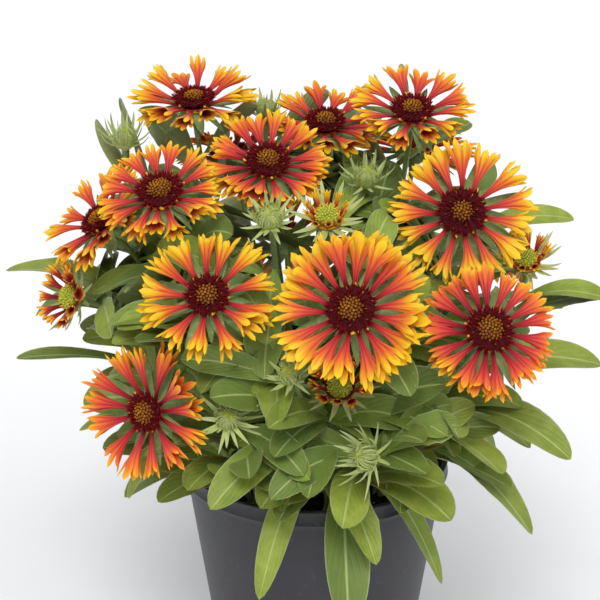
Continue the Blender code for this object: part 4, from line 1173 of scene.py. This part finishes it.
def grow_petal(plant, start, way, side, over, length, half, flat, rng, finish=0):
    """A fluted funnel that splits at its mouth into fingers; its inner wall runs down into the throat."""
    fingers = rng.choice((6, 7, 7, 8))
    columns = 3 * fingers
    step = math.tau / fingers
    phase = rng.random() * step
    chance = rng.random()
    arch = rng.uniform(0.0, 0.07) * length
    droop = rng.uniform(-0.04, 0.10) * length
    drift = rng.uniform(-0.06, 0.06) * length
    mouth = half * rng.uniform(0.66, 0.86)

    def place(s, angle, width):
        bow = arch * math.sin(math.pi * min(s, 1.0)) - droop * s ** 3
        middle = start + way * length * s + over * bow + side * drift * s * s
        return middle + side * width * math.cos(angle) + over * width * flat * math.sin(angle)

    def width_at(s):
        return PETAL_BASE_R + (mouth - PETAL_BASE_R) * (s / FINGER_START) ** 2.5

    def flute(s, angle):
        return 1 + FLUTE * (s / FINGER_START) ** 0.7 * math.cos(fingers * (angle - phase))

    # Grooves between the flutes, which the petal's finish darkens: partly red streaks, partly painted shade
    # in the creases.
    def groove(c):
        return 1.0 if c % 3 == 0 else 0.0

    angles = []
    for f in range(fingers):
        for offset in (-0.5, -FINGER_EDGE, FINGER_EDGE):
            angles.append(phase + (f + offset) * step)
    shares = [a / math.tau for a in angles]
    outer = []
    for s in PETAL_ROWS:
        ring = []
        for c, a in enumerate(angles):
            spot = place(s, a, width_at(s) * flute(s, a))
            ring.append(plant.point(spot, s, shares[c], 0.0, chance, groove(c)))
        outer.append(ring)
    for low, high in zip(outer, outer[1:]):
        plant.bridge(low, high, finish)
    plant.close(outer[0], plant.point(place(-0.02, 0, 0), 0.0, 0.5, 0.0, chance), finish)
    inner = []
    for s in THROAT_ROWS:
        ring = []
        for c, a in enumerate(angles):
            if s == FINGER_START and c % 3 == 0:
                ring.append(outer[-1][c])
                continue
            spot = place(s, a, max(width_at(s) * flute(s, a) - PETAL_SHEET * 1.4, 0.2 * MM))
            ring.append(plant.point(spot, s, shares[c], 1.0, chance, groove(c)))
        inner.append(ring)
    for low, high in zip(inner, inner[1:]):
        plant.bridge(low, high, finish)
    plant.close(inner[-1], plant.point(place(THROAT_END, 0, 0), THROAT_END, 0.5, 1.0, chance), finish)
    for f in range(fingers):
        c = 3 * f
        n = (c + 3) % columns
        middle_angle = phase + f * step
        reach = rng.uniform(0.13, 0.31)
        splay = half * rng.uniform(0.0, 0.60)
        lean = rng.uniform(-0.22, 0.22) * step
        last_out = [outer[-1][c], outer[-1][c + 1], outer[-1][c + 2], outer[-1][n]]
        last_in = [outer[-1][c], inner[0][c + 1], inner[0][c + 2], outer[-1][n]]
        for k, taper in ((0.36, 0.84), (0.74, 0.56)):
            s = FINGER_START + reach * k
            share = FINGER_START + (1 - FINGER_START) * k
            width = mouth + splay * k ** 1.4
            spots_out = []
            spots_in = []
            for m, offset in enumerate((-0.5, -FINGER_EDGE, FINGER_EDGE, 0.5)):
                a = middle_angle + offset * taper * step + lean * k
                ridge = 1.10 if m in (1, 2) else 0.96
                spot = plant.point(place(s, a, width * ridge), share, a / math.tau, 0.2, chance)
                spots_out.append(spot)
                if m in (0, 3):
                    spots_in.append(spot)
                else:
                    inside = place(s, a, width * ridge - PETAL_SHEET)
                    spots_in.append(plant.point(inside, share, a / math.tau, 0.8, chance))
            for near, far in ((last_out, spots_out), (last_in, spots_in)):
                for m in range(3):
                    plant.face((near[m], near[m + 1], far[m + 1], far[m]), finish)
            last_out, last_in = spots_out, spots_in
        tip = plant.point(place(FINGER_START + reach, middle_angle + lean, mouth + splay), 1.0,
                          middle_angle / math.tau, 0.5, chance)
        for near in (last_out, last_in):
            for m in range(3):
                plant.face((near[m], near[m + 1], tip), finish)


def look_of(head):
    """A head's own look, or the common one of its kind."""
    return BLOOM_LOOKS.get(head.name, YOUNG_LOOK if head.kind == "young" else PLAIN_LOOK)


def petals_of(head):
    """All petals of a head on their collar, in the head's own frame."""
    plant = Growth()
    rng = random.Random("petals " + head.name)
    wide, flat, _ = look_of(head)
    r_in, r_out = collar_radii(head)
    lathe(plant, [(r_in, 0.0), (r_out - 0.3 * MM, COLLAR_TOP), (r_out, 0.0), (r_out - 0.3 * MM, COLLAR_LOW)],
          3 * head.rays, 0)
    for i, (swing, lift, stretch) in enumerate(ray_turns(head)):
        angle = math.tau * (i + 0.5) / head.rays + math.radians(swing + rng.uniform(-5, 5))
        cup = head.cup + lift + rng.uniform(-6, 6)
        rise = math.radians(cup)
        way = Vector((math.cos(rise) * math.cos(angle), math.cos(rise) * math.sin(angle), math.sin(rise)))
        side = Vector((-math.sin(angle), math.cos(angle), 0))
        over = way.cross(side)
        if over.z < 0:
            over.negate()
        start = polar(r_out * math.cos(math.pi / head.rays) - 0.4 * MM, math.tau * (i + 0.5) / head.rays,
                      (COLLAR_TOP + COLLAR_LOW) / 2)
        length = head.reach * MM * stretch - r_out * math.cos(rise)
        half = ray_lobe_width(head, head.reach * MM, cup) * wide * rng.uniform(0.86, 1.1)
        grow_petal(plant, start, way, side, over, length, half, flat * rng.uniform(0.8, 1.2), rng)
    if head.kind != "young":
        for _ in range(rng.randint(3, 6)):
            grow_nub(plant, head, rng)
    return plant


def grow_nub(plant, head, rng):
    """A small stunted golden petal at the disc's edge."""
    turn = rng.random() * math.tau
    out = polar(1.0, turn, 0.0)
    root = out * (head.disc - 0.6) * MM + Vector((0, 0, 1.6 * MM))
    way = (out * 0.7 + Vector((0, 0, 0.9)) + polar(0.4, rng.random() * math.tau, 0)).normalized()
    length = rng.uniform(2.4, 5.0) * MM
    places = [root + way * length * t for t in (0.0, 0.35, 0.7, 1.0)]
    grow_tube(plant, places, [0.35 * MM, 0.55 * MM, 0.8 * MM, 0.25 * MM], 6, 0, rng.random(), 0.0, 0.5, 1.0)


def floret_shape(name, rings, sides):
    """One floret: a small closed turned shape of (radius, height), in millimetres."""
    plant = Growth()
    lathe(plant, [(r * MM, z * MM) for r, z in rings], sides, 0)
    return plant.made(name, [])


def florets(name, shape, head, count, inner, outer, rim, middle, lean, size, finish, unrest=1.0):
    """Florets of one kind on a head, placed in the world; unrest is how far they stray from the spiral."""
    made = repeated(name, shape, SPIRAL, {
        "Count": count, "Inner radius": inner, "Outer radius": outer, "Rim height": rim,
        "Middle height": middle, "Lean": lean, "Size": size, "Unrest": unrest, "Seed": len(name),
        "Finish": finish})
    made.data.transform(head_frame(head))
    return made


def make_young_disc(head):
    """An unripe disc: its bed, lime florets and golden ones towards the rim."""
    radius = (head.disc - 1.2) * MM - GAP
    bed = Growth()
    lathe(bed, [(0, COLLAR_LOW), (radius, COLLAR_LOW), (radius, 1.6 * MM), (radius * 0.7, 3.2 * MM),
                (0, 3.8 * MM)], 24, 0)
    bed.turned(head_frame(head))
    piece = bed.made(head.name + "_middle", [FINISH["lime bed"]])
    green = florets("lime florets", KNOB, head, 70, 0.0, radius, 1.6 * MM, 3.6 * MM, 0.8, 1.0,
                    FINISH["lime floret"])
    gilt = florets("golden florets", SPIKE, head, 34, radius * 0.72, radius, 1.6 * MM, 2.4 * MM, 0.7, 0.9,
                   FINISH["style"])
    return joined(piece, green, gilt)


def make_maroon_ring(head):
    """The ring of maroon florets and bristles, with a few golden styles."""
    gold = head.gold * MM
    disc = head.disc * MM
    ring = Growth()
    lathe(ring, [(gold + GAP, DISC_UNDER), (disc * 0.9, DISC_UNDER + 1.6 * MM), (disc, DISC_UNDER + 2.6 * MM),
                 (disc * 0.86, DISC_UNDER + 3.8 * MM), (gold + GAP, DISC_UNDER + 4.0 * MM)], 36, 0)
    ring.turned(head_frame(head))
    piece = ring.made(head.name + "_maroon_ring", [FINISH["maroon bed"]])
    rim = DISC_UNDER + 2.2 * MM
    top = DISC_UNDER + 4.0 * MM
    thick = florets("maroon florets", SPIKE, head, 150, gold, disc, rim, top + 0.6 * MM, 0.95, 1.15,
                    FINISH["maroon floret"])
    thin = florets("maroon bristles", BRISTLE, head, 240, gold * 0.9, disc * 1.02, rim, top, 1.1, 1.0,
                   FINISH["crimson bristle"])
    specks = florets("golden styles", BRISTLE, head, 13, gold * 1.1, disc, rim + 0.6 * MM, top + 1.2 * MM,
                     1.0, 0.95, FINISH["style"])
    return joined(piece, thick, thin, specks)


def make_golden_middle(head):
    """The domed middle of ripe golden florets."""
    gold = head.gold * MM
    centre = Growth()
    lathe(centre, [(0, COLLAR_LOW), (gold, COLLAR_LOW), (gold, DISC_UNDER + 3.4 * MM),
                   (gold * 0.8, DISC_UNDER + 4.4 * MM), (gold * 0.45, DISC_UNDER + 4.9 * MM),
                   (0, DISC_UNDER + 5.0 * MM)], 28, 0)
    centre.turned(head_frame(head))
    piece = centre.made(head.name + "_golden_middle", [FINISH["brown bed"]])
    many = round(head.gold ** 2 * 1.55)
    knobs = florets("golden florets", KNOB, head, many, 0.0, gold, DISC_UNDER + 3.5 * MM,
                    DISC_UNDER + 4.8 * MM, 0.8, 1.06, FINISH["golden floret"], 0.3)
    return joined(piece, knobs)


def make_disc(head):
    """A head's disc in one or two pieces, each with the nodes that it replaces and its slot."""
    if head.kind == "young":
        return [(make_young_disc(head), [head.name + "_disc"], "lime_floret")]
    ring = make_maroon_ring(head)
    centre = make_golden_middle(head)
    if head.kind == "plain":
        return [(joined(ring, centre), [head.name + "_disc"], "maroon_floret")]
    return [(ring, [head.name + "_disc_ring"], "maroon_floret"),
            (centre, [head.name + "_disc_centre"], "golden_floret")]


# Where extra leaves may go

def hides_a_bloom(places):
    """Whether a leaf through these places would stand in front of a bloom or bud, or above one."""
    for head in HEADS:
        middle = mm(*head.at)
        sight = middle - EYE
        axis = facing(head.az, head.el)
        room = (head.reach * 0.8 if head.kind != "bud" else BUD_ROOM) * MM
        for place in places:
            share = (place - EYE).dot(sight) / sight.length_squared
            if share < NEARER and (place - EYE - sight * share).length < room:
                return True
            before = (place - middle).dot(axis)
            aside = (place - middle - axis * before).length
            if -HEAD_BEHIND < before < HEAD_BEFORE and aside < room * HEAD_ROOM:
                return True
    return False


def meets_pot(places):
    """Whether a leaf through these places would hang below the rim or meet the soil."""
    for place in places:
        room = RIM_ROOM if math.hypot(place.x, place.y) < POT_RIM_R else SIDE_ROOM
        if place.z < POT_HEIGHT + room:
            return True
    return False


def within_plant(places):
    """Whether a leaf through these places stays inside the plant's rounded outline."""
    for place in places:
        most = PLANT_R - max(0.0, place.z - PLANT_SHOULDER) * PLANT_TAPER
        if math.hypot(place.x, place.y) > most or place.z > PLANT_TOP:
            return False
    return True


def fill_leaf(crown, guides, rng, lowest):
    """An extra leaf's root, tip, width and arch where there is room, or None; its root is no lower on the
    stem than the given share."""
    x, y = CROWNS[crown]
    home = math.degrees(math.atan2(guides[3].x - x * 0.4 * MM, -(guides[3].y - y * 0.4 * MM)))
    for step in range(FILL_TRIES):
        height = rng.uniform(lowest, 0.95)
        root = bezier(guides, height)
        azimuth = home + rng.uniform(-170, 170)
        length = (80 - 28 * height - 0.5 * step) * MM * rng.uniform(0.75, 1.12)
        tip = root + facing(azimuth, rng.uniform(-24, 24) + 30 * height) * length
        arch = rng.uniform(0.08, 0.24)
        places = [leaf_frame(root, tip, arch, t)[0] for t in FILL_SPOTS]
        if within_plant(places) and not meets_pot(places) and not hides_a_bloom(places):
            return root, tip, (22 - 5 * height) * MM, arch
    return None


# Leafy stems

def grow_foot(plant, crown):
    """The rooted foot of a leafy stem, in its hole in the soil."""
    x, y = CROWNS[crown]
    first = len(plant.points)
    lathe(plant, [(0, SOIL_TOP - CROWN_DEPTH), (CROWN_R, SOIL_TOP - CROWN_DEPTH),
                  (CROWN_R, SOIL_TOP - 1 * MM), (CROWN_R * 0.9, SOIL_TOP + 1.2 * MM),
                  (CROWN_R * 0.55, SOIL_TOP + 3.4 * MM), (0, SOIL_TOP + 3.8 * MM)], 14, STEM, 0.2, 0.4)
    plant.turned(Matrix.Translation(mm(x, y, 0)), first)


def wanted_leaves(crown, mates, guides):
    """What the solids try to place on a crown: the stem's head, height, tip, width and arch of each leaf."""
    wishes = []
    for leaf in LEAVES:
        if leaf.crown == crown:
            name, height = leaf.root
            wishes.append((name, height, mm(*leaf.tip), leaf.width * MM, leaf.arch))
    routes = [stem_route(guides[head.name]) for head in mates]
    for stem, height, tip, width, arch in wishes_by_rule(crown, routes):
        wishes.append((mates[stem].name, height, tip, width, arch))
    return wishes


def solid_corners(crown):
    """The corners of a leafy stem's solid, ready to be searched by place."""
    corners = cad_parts["leafy_stem_" + crown].data.vertices
    tree = KDTree(len(corners))
    for i, corner in enumerate(corners):
        tree.insert(corner.co, i)
    tree.balance()
    return tree


def grow_solid_leaves(plant, crown, mates, guides, rng):
    """The leaves that the solids have: a leaf's tip is where the solid has a corner."""
    corners = solid_corners(crown)
    for name, height, tip, width, arch in wanted_leaves(crown, mates, guides):
        foot = along(stem_route(guides[name]), height)
        tries = (turned_tip(foot, tip, step) for step in range(LEAF_TRIES))
        settled = next((spot for spot in tries if corners.find(spot)[2] < TIP_MATCH), None)
        if settled is None:
            continue
        toothed = rng.random() < LEAF_TOOTHED
        grow_leaf(plant, bezier(guides[name], height), settled, width, arch, rng, toothed)


def grow_extra_leaves(plant, crown, mates, guides, rng):
    """The leaves that only this script adds: by chance where there is room, then behind the upper heads."""
    for head in mates:
        for i in range(FILL_LEAVES):
            found = fill_leaf(crown, guides[head.name], rng, FILL_HIGH if i % 2 else FILL_LOWEST)
            if found:
                grow_leaf(plant, *found, rng, rng.random() < FILL_TOOTHED)
    for leaf in BACKING:
        if leaf.crown == crown:
            name, height = leaf.root
            root = bezier(guides[name], height)
            grow_leaf(plant, root, mm(*leaf.tip), leaf.width * MM, leaf.arch, rng, False)


def bud_florets(head):
    """The unripe florets and bristles that fill a bud, as two objects."""
    radius = head.disc * MM
    knobs = florets("bud florets", KNOB, head, 60, 0.0, radius * 0.9, 1.4 * MM, 4.1 * MM, 0.9, 0.85,
                    FINISH["lime floret"])
    bristles = florets("bud bristles", BRISTLE, head, 90, 0.0, radius, 0.8 * MM, 4.0 * MM, 1.1, 0.8,
                       FINISH["bud bristle"])
    return knobs, bristles


def make_foliage(crown):
    """One leafy stem: foot, flower stems, bracts, leaves, down and buds."""
    plant = Growth()
    rng = random.Random("foliage " + crown)
    mates = [head for head in HEADS if head.crown == crown]
    guides = {head.name: stem_guides(head) for head in mates}
    grow_foot(plant, crown)
    for head in mates:
        grow_stem(plant, guides[head.name], rng)
        grow_calyx(plant, head)
    grow_solid_leaves(plant, crown, mates, guides, rng)
    grow_extra_leaves(plant, crown, mates, guides, rng)
    finishes = [FINISH[part] for part in ("leaf", "stem", "bract", "bud bract")]
    green = plant.made(crown + "_foliage", finishes)
    hairs = repeated(crown + " hairs", green, DOWN, {
        "Density": HAIR_DENSITY, "Length": HAIR_LENGTH, "Thickness": HAIR_R, "Tangle": 0.55,
        "Seed": len(crown), "Finish": FINISH["hair"]})
    joined(green, hairs)
    for head in mates:
        if head.kind == "bud":
            joined(green, *bud_florets(head))
    return green


# Pot, soil and studio

def make_pot():
    """The nursery pot with a rolled band, a fine bead under it and a foot ring."""
    body_r = POT_RIM_R - POT_BAND_STEP
    body_z = POT_HEIGHT - POT_BAND

    def wall(z):
        return POT_BASE_R + (body_r - POT_BASE_R) * z / body_z

    profile = [(0, 0), (POT_BASE_R - 1.6 * MM, 0), (POT_BASE_R - 0.5 * MM, 0.3 * MM),
               (POT_BASE_R, 1.2 * MM)]
    for z in (4, 5, 6, 30, 60, 90, 108):
        profile.append((wall(z * MM) + (0.25 * MM if z == 5 else 0.0), z * MM))
    profile += [
        (body_r, body_z - 0.7 * MM),
        (body_r + 0.5 * MM, body_z - 0.35 * MM),
        (POT_RIM_R - 0.5 * MM, body_z - 0.3 * MM),
        (POT_RIM_R, body_z),
        (POT_RIM_R + 0.15 * MM, body_z + 0.5 * MM),
        (POT_RIM_R - 0.25 * MM, body_z + 1.0 * MM),
        (POT_RIM_R - 0.2 * MM, POT_HEIGHT - 1.3 * MM),
        (POT_RIM_R, POT_HEIGHT - 0.7 * MM),
        (POT_RIM_R - 0.3 * MM, POT_HEIGHT - 0.1 * MM),
        (POT_RIM_R - 0.9 * MM, POT_HEIGHT),
        (POT_RIM_R - 2.4 * MM, POT_HEIGHT - 0.1 * MM),
        (body_r - POT_WALL + 0.3 * MM, POT_HEIGHT - 0.6 * MM),
        (body_r - POT_WALL, POT_HEIGHT - 1.6 * MM),
        (POT_BASE_R - POT_WALL, POT_FLOOR),
        (0, POT_FLOOR),
    ]
    shell = Growth()
    lathe(shell, profile, 160, 0)
    return shell.made("nursery_pot", [FINISH["pot"]])


def make_soil():
    """Potting soil, mounded and lumpy, with loose crumbs of peat and bark."""
    bed = Growth()
    rng = random.Random("soil surface")
    steps = 72
    inner = POT_BASE_R - POT_WALL

    def wall(z):
        share = (z - POT_FLOOR) / (POT_HEIGHT - POT_FLOOR)
        return inner + (POT_RIM_R - POT_BAND_STEP - POT_WALL - inner) * share - GAP

    edge_z = SOIL_TOP - 1.5 * MM
    foot_z = POT_FLOOR + GAP
    rings = []
    for radius, height in ((wall(foot_z), foot_z), (wall(edge_z), edge_z)):
        rings.append([bed.point(polar(radius, math.tau * i / steps, height), 0.0) for i in range(steps)])
    for share in (0.96, 0.9, 0.82, 0.72, 0.62, 0.5, 0.38, 0.25, 0.12):
        ring = []
        for i in range(steps):
            lump = rng.uniform(-0.8, 1.0) * MM
            spot = polar(wall(edge_z) * share, math.tau * i / steps, SOIL_TOP + lump)
            ring.append(bed.point(spot, 0.5, 0.5, 0.0, 0.0, 1.0))
        rings.append(ring)
    for low, high in zip(rings, rings[1:]):
        bed.bridge(low, high)
    bed.close(rings[0], bed.point(Vector((0, 0, foot_z)), 0.0))
    bed.close(rings[-1], bed.point(Vector((0, 0, SOIL_TOP)), 0.5, 0.5, 0.0, 0.0, 1.0))
    piece = bed.made("potting_soil_bed", [FINISH["soil"]])
    crumbs = repeated("soil crumbs", piece, CRUMBS, {
        "Density": CRUMB_DENSITY, "Size": CRUMB_SIZE, "Seed": 4, "Finish": FINISH["crumb"]})
    return joined(piece, crumbs)


def soft_sun(name, towards, strength, width):
    """A wide soft light that shines from that direction, width degrees across."""
    lamp = bpy.data.lights.new(name, "SUN")
    lamp.energy = strength
    lamp.angle = math.radians(width)
    obj = bpy.data.objects.new(name, lamp)
    bpy.context.scene.collection.objects.link(obj)
    obj.rotation_euler = Vector(towards).to_track_quat("Z", "Y").to_euler()


def make_studio():
    """Pale floor, soft light from all round, two wide soft lights from the front, and the camera."""
    mesh = bpy.data.meshes.new("floor")
    far = FLOOR_HALF
    mesh.from_pydata([(-far, -far, 0), (far, -far, 0), (far, far, 0), (-far, far, 0)], [], [(0, 1, 2, 3)])
    floor = bpy.data.objects.new("floor", mesh)
    bpy.context.scene.collection.objects.link(floor)
    mesh.materials.append(FINISH["floor"])
    world = bpy.data.worlds.new("studio")
    bpy.context.scene.world = world
    world.use_nodes = True
    sky = world.node_tree.nodes["Background"]
    sky.inputs["Color"].default_value = (0.96, 0.97, 1.0, 1)
    sky.inputs["Strength"].default_value = 0.62
    soft_sun("key light", (-0.12, -0.75, 0.95), 1.45, 26.0)
    soft_sun("second light", (0.50, -0.70, 0.90), 0.60, 40.0)
    view = bpy.data.cameras.new("front camera")
    view.sensor_width = 36
    view.lens = EYE_LENS
    camera = bpy.data.objects.new("front camera", view)
    bpy.context.scene.collection.objects.link(camera)
    camera.location = EYE
    pitch = math.radians(EYE_PITCH)
    camera.rotation_euler = Vector((0, math.cos(pitch), -math.sin(pitch))).to_track_quat("-Z", "Y").to_euler()
    bpy.context.scene.camera = camera
    bpy.context.scene.view_settings.view_transform = "Standard"


def keep(piece, nodes):
    """A finished piece: it rides on the plant's one body and stands for its nodes."""
    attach(piece, "root")
    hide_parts(*nodes)


LEAF, STEM, BRACT, BUD_BRACT = range(4)
FINISH = {
    "leaf": leaf_finish(),
    "stem": stem_finish(),
    "bract": bract_finish(),
    "bud bract": bud_bract_finish(),
    "hair": hair_finish(),
    "maroon floret": floret_finish("maroon floret", (0.13, 0.004, 0.005), (0.18, 0.004, 0.008),
                                   (0.035, 0.001, 0.002), 500.0),
    "crimson bristle": floret_finish("crimson bristle", (0.22, 0.006, 0.008), (0.26, 0.008, 0.014),
                                     (0.07, 0.002, 0.004), 500.0),
    # Golden florets: 0.9 is the strength of the painted shade in their openings.
    "golden floret": floret_finish("golden floret", (0.58, 0.27, 0.018), (0.48, 0.13, 0.012),
                                   (0.07, 0.006, 0.002), 700.0, 0.9),
    "lime floret": floret_finish("lime floret", (0.62, 0.66, 0.07), (0.66, 0.66, 0.12),
                                 (0.26, 0.34, 0.03), 700.0),
    "bud bristle": floret_finish("bud bristle", (0.70, 0.76, 0.16), (0.62, 0.70, 0.20),
                                 (0.36, 0.46, 0.06), 700.0),
    "style": floret_finish("golden style", (0.85, 0.42, 0.02), (0.92, 0.50, 0.03), (0.55, 0.18, 0.01), 700.0),
    "maroon bed": disc_bed_finish("maroon bed", (0.03, 0.001, 0.003), (0.08, 0.002, 0.006)),
    "brown bed": disc_bed_finish("brown bed", (0.035, 0.004, 0.002), (0.07, 0.010, 0.004)),
    "lime bed": disc_bed_finish("lime bed", (0.20, 0.27, 0.02), (0.34, 0.40, 0.05)),
    "pot": pot_finish(),
    "soil": soil_finish("peat"),
    "crumb": soil_finish("crumbs of bark"),
    "floor": floor_finish(),
}
SPIRAL = floret_tree()
DOWN = hair_tree()
CRUMBS = crumb_tree()
KNOB = floret_shape("knob floret", [(0, 0), (0.5, 0.1), (0.62, 0.5), (0.42, 0.95), (0, 0.7)], 6)
SPIKE = floret_shape("spike floret", [(0, 0), (0.5, 0.2), (0.42, 1.2), (0, 2.3)], 5)
BRISTLE = floret_shape("bristle floret", [(0, 0), (0.2, 0.1), (0.16, 1.8), (0, 2.6)], 3)

make_studio()
keep(make_pot(), ["pot"])
keep(make_soil(), ["soil"])
for crown in CROWNS:
    keep(make_foliage(crown), ["leafy_stem_" + crown])
for head in HEADS:
    if head.kind == "bud":
        continue
    petals = petals_of(head)
    petals.turned(head_frame(head))
    stops = young_petal_stops() if look_of(head) is YOUNG_LOOK else petal_stops()
    finish = petal_finish(head.name + " petal", look_of(head)[2], stops)
    keep(petals.made(head.name + "_petals", [finish]), [head.name + "_rays"])
    for piece, nodes, slot in make_disc(head):
        keep(piece, nodes)
for shape in (KNOB, SPIKE, BRISTLE):
    bpy.data.objects.remove(shape)
